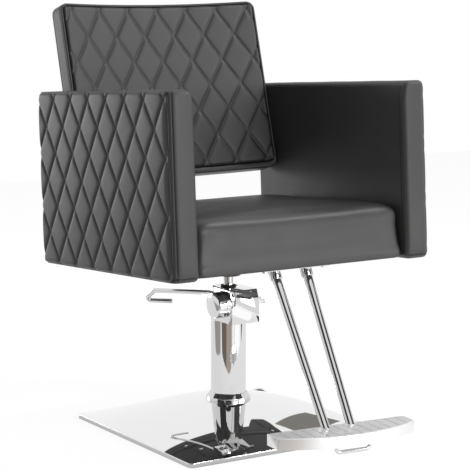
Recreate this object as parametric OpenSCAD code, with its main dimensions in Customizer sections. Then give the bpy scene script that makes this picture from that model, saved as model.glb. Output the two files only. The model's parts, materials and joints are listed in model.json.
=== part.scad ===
// Box-arm hairdressing chair on a foot-pumped column with a domed square base.
// Frame: Z up, floor at zero, column axis at the origin, the sitter faces -Y and has the right hand at -X.

/* [Base] */
// Side of the square base pan
base_side = 500; // [420:1:620]
// Corner radius of the pan
base_corner_r = 12; // [6:1:40]
// Upright height of the pan's edge
base_lip = 11; // [8:0.5:20]
// Height of the flat the column stands on
base_top = 66; // [50:1:90]
// Height the dome would reach without that flat
dome_peak = 72; // [66:1:100]
// How round the dome is across its width
dome_bend = 1.43; // [1.3:0.01:2.2]
// How full the dome is towards its edge
dome_fill = 0.77; // [0.6:0.01:1]
// Gap between the pan's edge and the floor
pan_clear = 1; // [0.5:0.1:2.5]
// Sheet thickness of the pan
pan_wall = 2.5; // [1.5:0.1:4]
// Side of the ballast plate
weight_side = 440; // [360:1:560]
// Corner radius of the ballast plate
weight_corner_r = 24; // [8:1:60]
// Thickness of the ballast plate
weight_t = 8; // [5:0.5:12]
// Opening in the middle of the ballast plate
weight_hole_d = 150; // [130:1:170]
// Thickness of the rubber feet
foot_t = 3; // [2:0.5:6]
// Diameter of the rubber feet
foot_d = 36; // [20:1:60]
// Distance of each foot from the centre lines
foot_at = 185; // [150:1:230]
// thickness of the rubber web that joins the feet under the weight
foot_web_t = 1.5; // [1:0.1:1.9]
// Thickness of the hub's flanges
hub_flange_t = 9; // [6:0.5:12]
// Diameter of the hub's foot
hub_foot_d = 232; // [200:1:260]
// Diameter where the hub's cone meets its foot
hub_cone_d = 168; // [160:1:180]
// Diameter of the hub's top
hub_seat_d = 94; // [94:0.2:95]
// Opening in the middle of the hub
hub_bore_d = 24; // [16:1:34]
// Wall of the hub's cone, measured level
hub_wall = 6.5; // [5:0.5:6.5]
// Pitch circle of the hub screws
hub_screw_pcd = 200; // [185:1:215]

/* [Column] */
// Outer diameter of the oil cylinder
cylinder_d = 72; // [60:1:80]
// Wall of the oil cylinder
cylinder_wall = 4; // [3:0.5:6]
// Diameter of the cylinder's foot flange
cylinder_foot_d = 86; // [84:1:88]
// Thickness of the cylinder's floor
cylinder_floor_t = 12; // [8:1:16]
// Pitch circle of the bolts that hold the cylinder
column_bolt_pcd = 66; // [60:1:68]
// Height of the cylinder's rim above the floor
cylinder_top = 246; // [220:1:280]
// Outer diameter of the inner pressure tube
pressure_d = 38; // [34:1:44]
// Bore of the inner pressure tube
pressure_bore = 32; // [28:1:36]
// Outer diameter of the chrome sleeve
sleeve_d = 79.4; // [75:0.1:88]
// Wall of the chrome sleeve
sleeve_wall = 1.5; // [1:0.1:3]
// Foot diameter of the collar round the sleeve
collar_d = 99; // [96:0.5:110]
// Height of the collar's upright band
collar_band_h = 7; // [4:0.5:14]
// Height of the collar's cone
collar_cone_h = 10; // [5:0.5:20]

/* [Pump head] */
// Width of the head
head_w = 70.4; // [62:0.2:80]
// Distance from the column axis to the head's front
head_reach = 70.6; // [62:0.2:84]
// Height of the head's top
head_top = 319; // [310:1:330]
// Height where the front starts to lean back
head_brow = 295; // [285:1:305]
// How far the leaning front falls back at the top
head_lean = 9.6; // [2:0.2:16]
// Height where the head's round body ends
head_drum_top = 287; // [275:1:300]
// Width of the hollow for the cam
cam_room_w = 21; // [18:0.5:26]
// Height where that hollow starts
cam_room_z = 262; // [256:1:266]
// Diameter of the bronze bush
bush_d = 30; // [28:0.5:34]
// Length of the bronze bush
bush_h = 26; // [16:1:34]
// Diameter of the wiper ring
wiper_d = 34; // [30:0.5:40]
// Thickness of the wiper ring
wiper_t = 5; // [3:0.5:8]
// How far the wiper ring stands out of the head
wiper_proud = 3; // [1:0.5:4]

/* [Lift] */
// Diameter of the chrome ram
ram_d = 22; // [20:0.5:26]
// Height of the ram's end inside the seat mount
ram_top = 371; // [360:1:385]
// Height of the piston's underside at the lowest seat
piston_z = 84; // [80:1:92]
// Length of the piston
piston_h = 26; // [20:1:34]
// Depth of the piston's seal grooves
seal_depth = 2.5; // [1.5:0.5:4]
// Width of the piston's seal grooves
seal_w = 4; // [3:0.5:6]
// Diameter of the spigot under the ram
spigot_d = 10; // [8:0.5:14]
// Length of the spigot under the ram
spigot_h = 18; // [10:1:22]
// Thickness of the thrust washer
washer_t = 3; // [2:0.5:5]

/* [Lever] */
// Height of the lever shaft
shaft_z = 288; // [282:1:292]
// Distance of the lever shaft in front of the column axis
shaft_front = 40; // [36:1:44]
// Diameter of the lever shaft
shaft_d = 14; // [12:0.5:16]
// Diameter of the round cheeks on the shaft
cheek_d = 58; // [48:1:60]
// Thickness of the head's own cheek
head_cheek_t = 10; // [6:0.5:14]
// Thickness of the lever's hub
lever_hub_t = 23; // [14:0.5:30]
// Diameter of the lever's rod
rod_d = 11; // [8:0.5:16]
// Where the rod leaves the hub, behind the shaft
rod_root_back = 30; // [24:1:40]
// Height of the rod over the shaft
rod_rise = 23; // [20:0.5:25]
// Distance of the rod's far bend from the column axis, sideways
rod_bend_side = 95; // [80:1:120]
// Distance of the rod's far bend behind the column axis
rod_bend_back = 162; // [130:1:200]
// Height of the rod's far bend
rod_bend_z = 294; // [280:1:300]
// Sideways distance of the foot bar's outer end
bar_out_side = 106; // [90:1:140]
// Distance of the foot bar's outer end behind the column axis
bar_out_back = 194; // [150:1:230]
// Height of the foot bar
bar_z = 268; // [255:1:285]
// Sideways distance of the foot bar's inner end
bar_in_side = 58; // [20:1:90]
// Distance of the foot bar's inner end behind the column axis
bar_in_back = 146; // [120:1:180]
// Distance of the pump plunger behind the lever shaft
plunger_back = 14; // [13:0.5:14.5]
// Diameter of the pump plunger
plunger_d = 8; // [7:0.5:8]
// Diameter of the plunger's head
plunger_head_d = 14; // [12:0.5:15]
// Thickness of the plunger's head
plunger_head_t = 4; // [3:0.5:6]
// Radius of the cam's nose
cam_nose_r = 5; // [4:0.5:6]
// Width of the cam
cam_w = 14; // [10:0.5:16]
// Wire of the return spring
spring_wire = 1.6; // [1:0.1:2]
// Turns of the return spring
spring_turns = 5; // [3:1:7]
// Length of the tab at the shaft's free end
tab_len = 24; // [16:1:34]
// Height of that tab
tab_h = 14; // [10:1:20]
// Thickness of that tab
tab_t = 3; // [2:0.5:5]
// Diameter of the stub that carries the tab
tab_stub_d = 11; // [8:0.5:13]
// Length of that stub
tab_stub_len = 13; // [8:1:20]

/* [Seat] */
// Overall width over both arms
overall_w = 650; // [600:1:720]
// Width of each arm
arm_w = 65; // [56:1:80]
// Lean of the seat unit, degrees
seat_tilt = 3.5; // [0:0.1:6]
// Height of the point the seat unit leans about
tilt_z = 400; // [380:1:420]
// Height of the seat's underside
seat_z = 384; // [381:1:388]
// Height of the seat cushion's edge above its underside
seat_h = 116; // [100:1:150]
// Crown of the seat cushion
seat_crown = 8; // [3:0.5:14]
// Softness of the seat cushion's upper edge
seat_edge_r = 24; // [14:1:34]
// Corner radius of the seat cushion in plan
seat_corner_r = 16; // [8:1:24]
// Distance of the seat's front edge from the column axis
seat_front = 293; // [270:1:300]
// Distance of the seat's rear edge from the column axis
seat_rear = 191; // [170:1:200]
// Gap between the seat and each arm
seat_gap = 1; // [0.4:0.1:3]
// Thickness of the seat board
board_t = 18; // [15:1:21]
// How much smaller the board is than the cushion, each side
board_inset = 8; // [5:1:12]
// Thickness of the black cloth under the seat
underlay_t = 1; // [0.6:0.1:2]
// Side of the steel mount plate
mount_w = 180; // [150:1:200]
// Thickness of the mount plate and the cross bars
steel_t = 5; // [4:0.5:6]
// Diameter of the mount's hub
mount_hub_d = 54; // [44:1:64]
// Height of the mount hub's lower end
mount_hub_z = 344; // [338:1:350]
// Distance between the mount bolts
mount_bolt_span = 140; // [110:1:160]
// Width of each cross bar
bar_w = 44; // [34:1:60]
// Distance of the front cross bar from the column axis
bar_front_at = 140; // [120:1:155]
// Distance of the rear cross bar from the column axis
bar_rear_at = 140; // [120:1:160]
// Distance of the cross bars' ends inside the arms' outer faces
bar_end_inset = 22; // [16:1:34]

/* [Arms] */
// Distance of the arms' front from the column axis
arm_front = 308; // [290:1:330]
// Distance of the arms' rear from the column axis
arm_rear = 266; // [230:1:270]
// Height of the arms' underside
arm_z = 379; // [370:1:380]
// Height of each arm
arm_h = 383; // [340:1:420]
// Softness of the arm's edges
arm_edge_r = 7; // [5:1:14]
// Thickness of the quilted panel at its edge
panel_edge_t = 4; // [4:0.5:9]
// Cover and padding over the arm frame
cover_t = 8; // [6:0.5:12]
// Margin of the quilted panel above and below
panel_margin_z = 3; // [3:0.5:14]
// Margin of the quilted panel at the front and the rear
panel_margin_y = 3; // [3:0.5:14]
// Height of the quilting's lowest points above the panel's lower edge
panel_quilt_z = 10; // [0:0.5:30]
// Distance of the quilting's first points from the panel's front edge
panel_quilt_y = 14; // [0:0.5:30]

/* [Quilting] */
// Width of a quilted diamond on the arms
arm_pitch_w = 79.6; // [60:0.1:100]
// Height of a quilted diamond on the arms
arm_pitch_h = 117.2; // [90:0.1:140]
// Width of a quilted diamond on the backrest
back_pitch_w = 77.8; // [60:0.1:100]
// Height of a quilted diamond on the backrest
back_pitch_h = 119.5; // [90:0.1:140]
// Height of the quilting's lowest points above the backrest pad's lower edge
back_quilt_z = 14; // [0:0.5:30]
// Rise of the padding inside a diamond
quilt_puff = 5; // [2:0.5:7]
// Roundness of a diamond's padding
quilt_round = 0.5; // [0.4:0.05:1]
// Softness of a quilted pad's edge
pad_edge_r = 7; // [5:0.5:14]
// Corner radius of a quilted pad
pad_corner_r = 14; // [8:0.5:20]

/* [Backrest] */
// Gap between the backrest and each arm
back_gap = 1; // [0.4:0.1:3]
// Height of the backrest's quilted front
back_h = 390; // [340:1:420]
// Plain band below the quilted front
back_skirt = 14; // [6:1:24]
// Thickness of the backrest
back_t = 50; // [44:1:60]
// How far the backrest's sides come forward
back_curve = 28; // [16:1:40]
// Lean of the backrest, degrees
back_lean = 15.6; // [8:0.1:20]
// Distance of the backrest's lower front edge behind the column axis
back_y = 189.4; // [180:0.2:200]
// Height of the backrest's lower front edge
back_z = 567.8; // [550:0.2:590]
// Corner radius of the backrest
back_corner_r = 20; // [10:1:32]
// Wall of the backrest's cover
back_cover_t = 6; // [4:0.5:9]
// Thickness of the quilted pad at its edge
back_pad_t = 14; // [10:0.5:18]
// Thickness of the curved plywood
ply_t = 10; // [8:0.5:14]
// Width of the uprights behind the plywood
upright_w = 34; // [28:1:44]
// Depth of the uprights behind the plywood
upright_t = 18; // [14:0.5:19]
// Height of the lower arm bolts on the backrest
back_bolt_low = 30; // [20:1:36]
// Spacing of the arm bolts on the backrest
back_bolt_step = 55; // [36:1:58]

/* [Footrest] */
// Outer diameter of the footrest tubes
tube_d = 19; // [16:0.5:25]
// Wall of the footrest tubes
tube_wall = 2; // [1.5:0.5:3]
// Distance of each tube's upper end from the middle
tube_top_x = 40; // [30:1:60]
// Distance of the tubes' upper ends in front of the column axis
tube_top_y = 237; // [225:1:245]
// Distance of each tube's lower end from the middle
tube_low_x = 31; // [24:1:50]
// Distance of the tubes' lower ends in front of the column axis
tube_low_y = 421; // [405:1:440]
// Height of the tubes' lower ends
tube_low_z = 86; // [80:1:90]
// Width of the steel foot the tubes are welded to
tube_mount_w = 170; // [140:1:200]
// Depth of that steel foot
tube_mount_d = 60; // [50:1:70]
// Outer diameter of the sockets under that foot
tube_socket_d = 26; // [23:0.5:32]
// Length of those sockets
tube_socket_h = 26; // [16:1:40]
// Width of the footplate
footplate_w = 322; // [260:1:380]
// Distance of the footplate's rear edge from the column axis
footplate_rear = 409; // [400:1:430]
// Depth of the footplate in the middle
footplate_depth = 90; // [70:1:110]
// Depth of the footplate at its ends
footplate_end = 42; // [30:1:60]
// Height of the footplate's top
footplate_top = 94; // [88:1:110]
// Height of the footplate's edge
footplate_h = 23; // [16:1:30]
// Wall of the footplate casting
footplate_wall = 5; // [3:0.5:7]
// Footplate turned on its tubes, degrees
footplate_turn = 5; // [0:0.5:8]
// Number of grooves across the footplate
groove_count = 12; // [6:1:16]
// Width of each groove
groove_w = 2.4; // [1.5:0.1:4]
// Depth of each groove
groove_depth = 1.4; // [0.8:0.1:2]
// Diameter of the bosses that take the tubes
boss_d = 30; // [26:1:36]
// Width of the loop under the footplate
loop_w = 78; // [60:1:110]
// Drop of the loop under the footplate
loop_drop = 20; // [14:1:30]
// Rod diameter of the loop
loop_d = 9; // [6:0.5:12]
// Distance of the loop behind the footplate's front edge
loop_back = 24; // [20:1:34]

/* [Fasteners] */
// Large bolt
bolt_d = 8; // [6:0.5:10]
// Head of the large bolt
bolt_head_d = 13; // [11:0.5:16]
// Height of the large bolt's head
bolt_head_h = 5; // [3:0.5:7]
// Small screw
screw_d = 6; // [4:0.5:7]
// Head of the small screw
screw_head_d = 11; // [9:0.5:14]
// Height of the small screw's head
screw_head_h = 3.5; // [2:0.5:5]
// Length of a screw in wood
wood_screw_len = 17; // [14:1:20]
// Length of the arm bolts
arm_bolt_len = 74; // [66:1:80]

/* [Hidden] */
// Radial clearance of running fits
run = 0.05;
// Overrun of every cut
over = 1;
// Gap round the backrest's quilted pad
pad_gap = 0.5;
// Facets of large and of small round parts
fine = 48;
small = 24;
bore = 32;
// Facets of a full turn of the backrest's curve
sweep = 360;

half = base_side / 2;
gap_half = overall_w / 2 - arm_w;
cover_w = arm_w - panel_edge_t - quilt_puff;
panel_face_x = gap_half + cover_w;
bar_len = overall_w - 2 * bar_end_inset;
back_w = 2 * (gap_half - back_gap);
seat_w = 2 * (gap_half - seat_gap);
seat_depth = seat_front + seat_rear;
seat_mid_y = (seat_rear - seat_front) / 2;
board_w = seat_w - 2 * board_inset;
board_d = seat_depth - 2 * board_inset;
arm_len = arm_front + arm_rear;
arm_mid_y = (arm_rear - arm_front) / 2;
panel_len = arm_len - 2 * panel_margin_y;
panel_h = arm_h - 2 * panel_margin_z;
frame_w = cover_w - cover_t;
hub_top = base_top - pan_wall;
hub_z = foot_t + weight_t;
pump_floor = base_top + cylinder_floor_t;
ram_z = piston_z + piston_h + washer_t;
plunger_y = plunger_back - shaft_front;
plunger_top = shaft_z - shaft_d / 2;
cam_nose_z = plunger_top + cam_nose_r;
back_r = (back_w * back_w / 4 + back_curve * back_curve) / (2 * back_curve);
pad_w = back_w - 2 * back_cover_t - 2 * pad_gap;
tube_top_z = seat_z - steel_t / 2 + tube_top_y * tan(seat_tilt);
tube_len = norm([tube_low_x - tube_top_x, tube_low_y - tube_top_y, tube_low_z - tube_top_z]);
tube_bent_out = atan2(tube_low_x - tube_top_x, tube_low_y - tube_top_y);
tube_slope = acos((tube_top_z - tube_low_z) / tube_len);
footplate_front = footplate_rear + footplate_depth;
sagitta = footplate_depth - footplate_end;
footplate_r = (footplate_w * footplate_w / 4 + sagitta * sagitta) / (2 * sagitta);

// Lines of the dome's grid from the middle outwards, as shares of the way to the corner's arc
dome_shares = [0, 0.1, 0.15, 0.2, 0.3, 0.43, 0.57, 0.71, 0.86, 1];
// Lines of that grid beyond there, as shares of the corner radius
corner_shares = [0.41, 0.7, 1];
// Grid steps in a quilted diamond, each way
quilt_steps = 6;
// Share of the edge softness where a pad's first grid line lies
pad_line_share = 0.35;
// Rings of the seat cushion as shares: inset of the edge softness, height of the edge softness
seat_ring_shares = [[1, 1], [0.76, 0.97], [0.5, 0.866], [0.29, 0.71], [0.13, 0.5], [0.03, 0.26], [0, 0]];
// Rings of the seat's top as shares of its half sizes
seat_top_shares = [0.86, 0.66, 0.42, 0.18];
// Grid lines between two corners of the seat's rings
seat_side_steps = 7;
seat_corner_steps = 4;
// Sides of the seat drawn in at the height shares of its upright part
seat_waist_share = 0.45;
seat_waist = 2;

function dome_at(x, y) =
    min(base_top, base_lip + (dome_peak - base_lip)
        * pow((1 - pow(abs(x) / half, dome_bend)) * (1 - pow(abs(y) / half, dome_bend)), dome_fill));

// A point of a rectangle's grid moved onto its rounded corners: half width, half height, corner radius
function rounded_point(x, y, hx, hy, r) =
    let (u = abs(x) - hx + r, v = abs(y) - hy + r, k = max(u, v) / max(norm([u, v]), run))
    min(u, v) <= 0 ? [x, y] : [sign(x) * (hx - r + u * k), sign(y) * (hy - r + v * k)];

function mirrored(shares) =
    concat([for (i = [len(shares) - 1:-1:1]) -shares[i]], shares);

// Stops of a quilted pad's grid: [position, lattice number] from one edge to the other
function pad_stops(low, high, first, pitch) =
    let (step = pitch / quilt_steps, line = pad_edge_r * pad_line_share,
        i0 = ceil((low + 2 * line - first) / step), i1 = floor((high - 2 * line - first) / step))
    concat([[low, i0 - 2], [low + line, i0 - 1]],
        [for (i = [i0:i1]) [first + i * step, i]],
        [[high - line, i1 + 1], [high, i1 + 2]]);

function edge_share(d) = let (e = min(1, d / pad_edge_r)) sqrt(1 - (1 - e) * (1 - e));

function quilt_share(a, b) = pow(abs(sin(180 * (a + b)) * sin(180 * (a - b))), quilt_round);

module rounded_square(w, d, r) {
    union() {
        square([w - 2 * r, d], center = true);
        square([w, d - 2 * r], center = true);
        for (sx = [-1, 1], sy = [-1, 1])
            translate([sx * (w / 2 - r), sy * (d / 2 - r)])
                circle(r = r, $fn = small);
    }
}

module rounded_prism(w, d, r, z, h) {
    translate([0, 0, z])
        linear_extrude(height = h)
            rounded_square(w, d, r);
}

// A box with all its edges rounded, centred on zero
module soft_box(w, d, h, r) {
    intersection() {
        translate([0, 0, -h / 2])
            linear_extrude(height = h)
                rounded_square(w, d, r);
        rotate([90, 0, 0])
            translate([0, 0, -d / 2])
                linear_extrude(height = d)
                    rounded_square(w, h, r);
        rotate([90, 0, 90])
            translate([0, 0, -w / 2])
                linear_extrude(height = w)
                    rounded_square(d, h, r);
    }
}

module tube(outer, inner, z, h) {
    translate([0, 0, z])
        difference() {
            cylinder(d = outer, h = h, $fn = fine);
            translate([0, 0, -over])
                cylinder(d = inner, h = h + 2 * over, $fn = fine);
        }
}

// A rod between two points
module rod(a, b, d) {
    v = b - a;
    translate(a)
        rotate([0, acos(v[2] / norm(v)), atan2(v[1], v[0])])
            cylinder(d = d, h = norm(v), $fn = small);
}

// A bend between two rods, a little fuller than they are
module joint_ball(p, d) {
    translate(p)
        sphere(d = d + 4 * run, $fn = small);
}

// A bolt from below, its head's top face at zero
module bolt(d, head_d, head_h, len) {
    translate([0, 0, -head_h])
        cylinder(d = head_d, h = head_h, $fn = small);
    cylinder(d = d, h = len, $fn = small);
}

module around(pcd) {
    for (a = [45:90:315])
        rotate([0, 0, a])
            translate([pcd / 2, 0, 0])
                children();
}

module leaned() {
    translate([0, 0, tilt_z])
        rotate([-seat_tilt, 0, 0])
            translate([0, 0, -tilt_z])
                children();
}

// A quilted pad in the XZ plane: front towards -Y, flat or hollow back at y zero, middle of its lower edge at zero
module quilted_pad(w, h, edge_t, first_x, first_z, pitch_w, pitch_h, bow_r) {
    xs = pad_stops(-w / 2, w / 2, first_x, pitch_w);
    zs = pad_stops(0, h, first_z, pitch_h);
    m = len(xs) - 1;
    mz = len(zs) - 1;
    n = m + 1;
    flat = [for (j = [0:mz], i = [0:m])
        let (p = rounded_point(xs[i][0], zs[j][0] - h / 2, w / 2, h / 2, pad_corner_r))
        [p[0], bow_r > 0 ? sqrt(bow_r * bow_r - p[0] * p[0]) - bow_r : 0, p[1] + h / 2]];
    front = [for (p = flat)
        let (e = edge_share(min(w / 2 - abs(p[0]), h / 2 - abs(p[2] - h / 2))),
            q = quilt_share((p[0] - first_x) / pitch_w, (p[2] - first_z) / pitch_h))
        [p[0], p[1] - edge_t * (1 + e) / 2 - quilt_puff * q * e, p[2]]];
    rim = concat([for (i = [0:m - 1]) i], [for (j = [0:mz - 1]) j * n + m],
        [for (i = [m:-1:1]) mz * n + i], [for (j = [mz:-1:1]) j * n]);
    k_end = len(rim);
    b = len(front);
    right = b + m;
    left = b + k_end;
    polyhedron(
        points = concat(front, [for (k = rim) flat[k]]),
        faces = concat(
            [for (j = [0:mz - 1], i = [0:m - 1])
                let (p = j * n + i, up = (xs[i][1] - zs[j][1]) % quilt_steps == 0)
                for (f = up ? [[p, p + n, p + n + 1], [p, p + n + 1, p + 1]]
                    : [[p, p + n, p + 1], [p + n, p + n + 1, p + 1]]) f],
            [for (k = [0:k_end - 1])
                let (q = (k + 1) % k_end)
                for (f = [[rim[k], rim[q], b + q], [rim[k], b + q, b + k]]) f],
            [for (i = [1:m - 2])
                let (t = right + mz + m - i)
                for (f = [[b + i, b + i + 1, t - 1], [b + i, t - 1, t]]) f],
            [for (j = [0:mz]) [right - 1, right + j, right + j + 1]],
            [for (j = [0:mz]) [b + 1, left - mz - 1 + j, j == mz ? b : left - mz + j]]));
}

function ring(w, d, r, z) =
    let (corners = [[1, 1, 0], [-1, 1, 90], [-1, -1, 180], [1, -1, 270]],
        arcs = [for (c = corners)
            [for (s = [0:seat_corner_steps])
                let (a = c[2] + 90 * s / seat_corner_steps)
                [c[0] * (w / 2 - r) + r * cos(a), c[1] * (d / 2 - r) + r * sin(a), z]]])
    [for (k = [0:3])
        for (p = concat(arcs[k],
            [for (s = [1:seat_side_steps - 1])
                arcs[k][seat_corner_steps]
                    + (arcs[(k + 1) % 4][0] - arcs[k][seat_corner_steps]) * s / seat_side_steps])) p];

// A crowned cushion on z zero: sides drawn in at the waist, soft upper edge
module cushion(w, d, h, r, edge_r, crown) {
    upright = h - edge_r;
    levels = concat(
        [[0, 0], [-seat_waist, upright * seat_waist_share], [0, upright]],
        [for (i = [len(seat_ring_shares) - 2:-1:0])
            [-edge_r * seat_ring_shares[i][0], upright + edge_r * seat_ring_shares[i][1]]]);
    rings = concat(
        [for (l = levels) ring(w + 2 * l[0], d + 2 * l[0], max(r + l[0] / 2, r / 2), l[1])],
        [for (s = seat_top_shares)
            ring((w - 2 * edge_r) * s, (d - 2 * edge_r) * s, r * s / 2, h + crown * (1 - s * s))]);
    n = len(rings[0]);
    last = len(rings) - 1;
    top = n * (last + 1);
    polyhedron(
        points = concat([for (k = rings, p = k) p], [[0, 0, h + crown], [0, 0, 0]]),
        faces = concat(
            [for (k = [0:last - 1], i = [0:n - 1])
                for (f = [[k * n + i, (k + 1) * n + i, (k + 1) * n + (i + 1) % n],
                    [k * n + i, (k + 1) * n + (i + 1) % n, k * n + (i + 1) % n]]) f],
            [for (i = [0:n - 1]) [top, last * n + (i + 1) % n, last * n + i]],
            [for (i = [0:n - 1]) [top + 1, i, (i + 1) % n]]));
}

// The domed sheet pan with its turned-down edge
module domed_pan() {
    m = 2 * (len(dome_shares) + len(corner_shares)) - 2;
    n = m + 1;
    skins = [for (t = [0, pan_wall])
        let (side = half - t, r = base_corner_r - t,
            g = mirrored(concat([for (k = dome_shares) k * (side - r)],
                [for (k = corner_shares) side - r + k * r])))
        [for (j = [0:m], i = [0:m])
            let (p = rounded_point(g[i], g[j], side, side, r))
            [p[0], p[1], dome_at(p[0], p[1]) - t]]];
    rim = concat([for (i = [0:m - 1]) i], [for (j = [0:m - 1]) j * n + m],
        [for (i = [m:-1:1]) m * n + i], [for (j = [m:-1:1]) j * n]);
    k_end = len(rim);
    b = n * n;
    o = 2 * b;
    e = o + k_end;
    polyhedron(
        points = concat(skins[0], skins[1],
            [for (t = [0, 1], p = rim) [skins[t][p][0], skins[t][p][1], pan_clear]]),
        faces = concat(
            [for (j = [0:m - 1], i = [0:m - 1])
                let (p = j * n + i, up = (i < m / 2) != (j < m / 2))
                for (f = up ? [[p, p + n, p + n + 1], [p, p + n + 1, p + 1],
                        [b + p, b + p + n + 1, b + p + n], [b + p, b + p + 1, b + p + n + 1]]
                    : [[p, p + n, p + 1], [p + n, p + n + 1, p + 1],
                        [b + p, b + p + 1, b + p + n], [b + p + n, b + p + 1, b + p + n + 1]]) f],
            [for (k = [0:k_end - 1])
                let (q = (k + 1) % k_end)
                for (f = [[rim[k], rim[q], o + q], [rim[k], o + q, o + k],
                    [b + rim[q], b + rim[k], e + k], [b + rim[q], e + k, e + q],
                    [o + k, o + q, e + q], [o + k, e + q, e + k]]) f]));
}

module base_feet() {
    color([0.06, 0.06, 0.06]) {
        rounded_prism(weight_side, weight_side, weight_corner_r, foot_t - foot_web_t, foot_web_t);
        cylinder(d = foot_d, h = foot_t, $fn = fine);
        for (sx = [-1, 1], sy = [-1, 1])
            translate([sx * foot_at, sy * foot_at, 0])
                cylinder(d = foot_d, h = foot_t, $fn = fine);
    }
}

module base_weight() {
    color([0.2, 0.2, 0.22])
        difference() {
            rounded_prism(weight_side, weight_side, weight_corner_r, foot_t, weight_t);
            translate([0, 0, foot_t - over])
                cylinder(d = weight_hole_d, h = weight_t + 2 * over, $fn = fine);
            around(hub_screw_pcd) {
                translate([0, 0, foot_t - over])
                    cylinder(d = screw_d + 4 * run, h = weight_t + 2 * over, $fn = small);
                translate([0, 0, foot_t - over])
                    cylinder(d = screw_head_d + 4 * run, h = screw_head_h + over, $fn = small);
            }
        }
}

module base_hub() {
    color([0.15, 0.15, 0.16])
        difference() {
            rotate_extrude($fn = fine)
                polygon([
                    [hub_bore_d / 2, hub_top - hub_flange_t], [hub_bore_d / 2, hub_top],
                    [hub_seat_d / 2, hub_top], [hub_seat_d / 2, hub_top - hub_flange_t],
                    [hub_cone_d / 2, hub_z + hub_flange_t], [hub_foot_d / 2, hub_z + hub_flange_t],
                    [hub_foot_d / 2, hub_z], [hub_cone_d / 2 - hub_wall, hub_z],
                    [hub_cone_d / 2 - hub_wall, hub_z + hub_flange_t],
                    [hub_seat_d / 2 - hub_wall, hub_top - hub_flange_t]]);
            around(column_bolt_pcd)
                translate([0, 0, hub_top - hub_flange_t - over])
                    cylinder(d = bolt_d + 4 * run, h = hub_flange_t + 2 * over, $fn = small);
            around(hub_screw_pcd)
                translate([0, 0, hub_z - over])
                    cylinder(d = screw_d + 2 * run, h = hub_flange_t, $fn = small);
        }
}

module hub_screws() {
    color([0.5, 0.5, 0.52])
        around(hub_screw_pcd)
            translate([0, 0, foot_t + screw_head_h])
                bolt(screw_d, screw_head_d, screw_head_h, weight_t + hub_flange_t - screw_head_h - 2 * over);
}

module base_plate() {
    color([0.85, 0.85, 0.87])
        difference() {
            domed_pan();
            around(column_bolt_pcd)
                translate([0, 0, hub_top - over])
                    cylinder(d = bolt_d + 4 * run, h = pan_wall + 2 * over, $fn = small);
        }
}

module column_bolts() {
    color([0.5, 0.5, 0.52])
        around(column_bolt_pcd)
            translate([0, 0, hub_top - hub_flange_t])
                bolt(bolt_d, bolt_head_d, bolt_head_h, hub_flange_t + pan_wall + cylinder_floor_t - 2 * over);
}

module pump_cylinder() {
    color([0.45, 0.45, 0.47])
        difference() {
            union() {
                translate([0, 0, base_top])
                    cylinder(d = cylinder_foot_d, h = cylinder_floor_t, $fn = fine);
                translate([0, 0, base_top])
                    cylinder(d = cylinder_d, h = cylinder_top - base_top, $fn = fine);
            }
            translate([0, 0, pump_floor])
                cylinder(d = cylinder_d - 2 * cylinder_wall, h = cylinder_top - pump_floor + over, $fn = fine);
            around(column_bolt_pcd)
                translate([0, 0, base_top - over])
                    cylinder(d = bolt_d + 2 * run, h = cylinder_floor_t, $fn = small);
        }
}

module pressure_tube() {
    color([0.55, 0.55, 0.57])
        tube(pressure_d, pressure_bore, pump_floor, cylinder_top - pump_floor);
}

module column_sleeve() {
    color([0.88, 0.88, 0.9])
        tube(sleeve_d, sleeve_d - 2 * sleeve_wall, pump_floor, cylinder_top - pump_floor);
}

module column_collar() {
    color([0.88, 0.88, 0.9])
        difference() {
            union() {
                translate([0, 0, base_top])
                    cylinder(d = collar_d, h = collar_band_h, $fn = fine);
                translate([0, 0, base_top + collar_band_h])
                    cylinder(d1 = collar_d, d2 = sleeve_d + 2 * sleeve_wall, h = collar_cone_h, $fn = fine);
            }
            translate([0, 0, base_top - over])
                cylinder(d = cylinder_foot_d + 4 * run, h = cylinder_floor_t + over, $fn = fine);
            translate([0, 0, base_top])
                cylinder(d = sleeve_d + 4 * run, h = collar_band_h + collar_cone_h + over, $fn = fine);
        }
}

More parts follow.
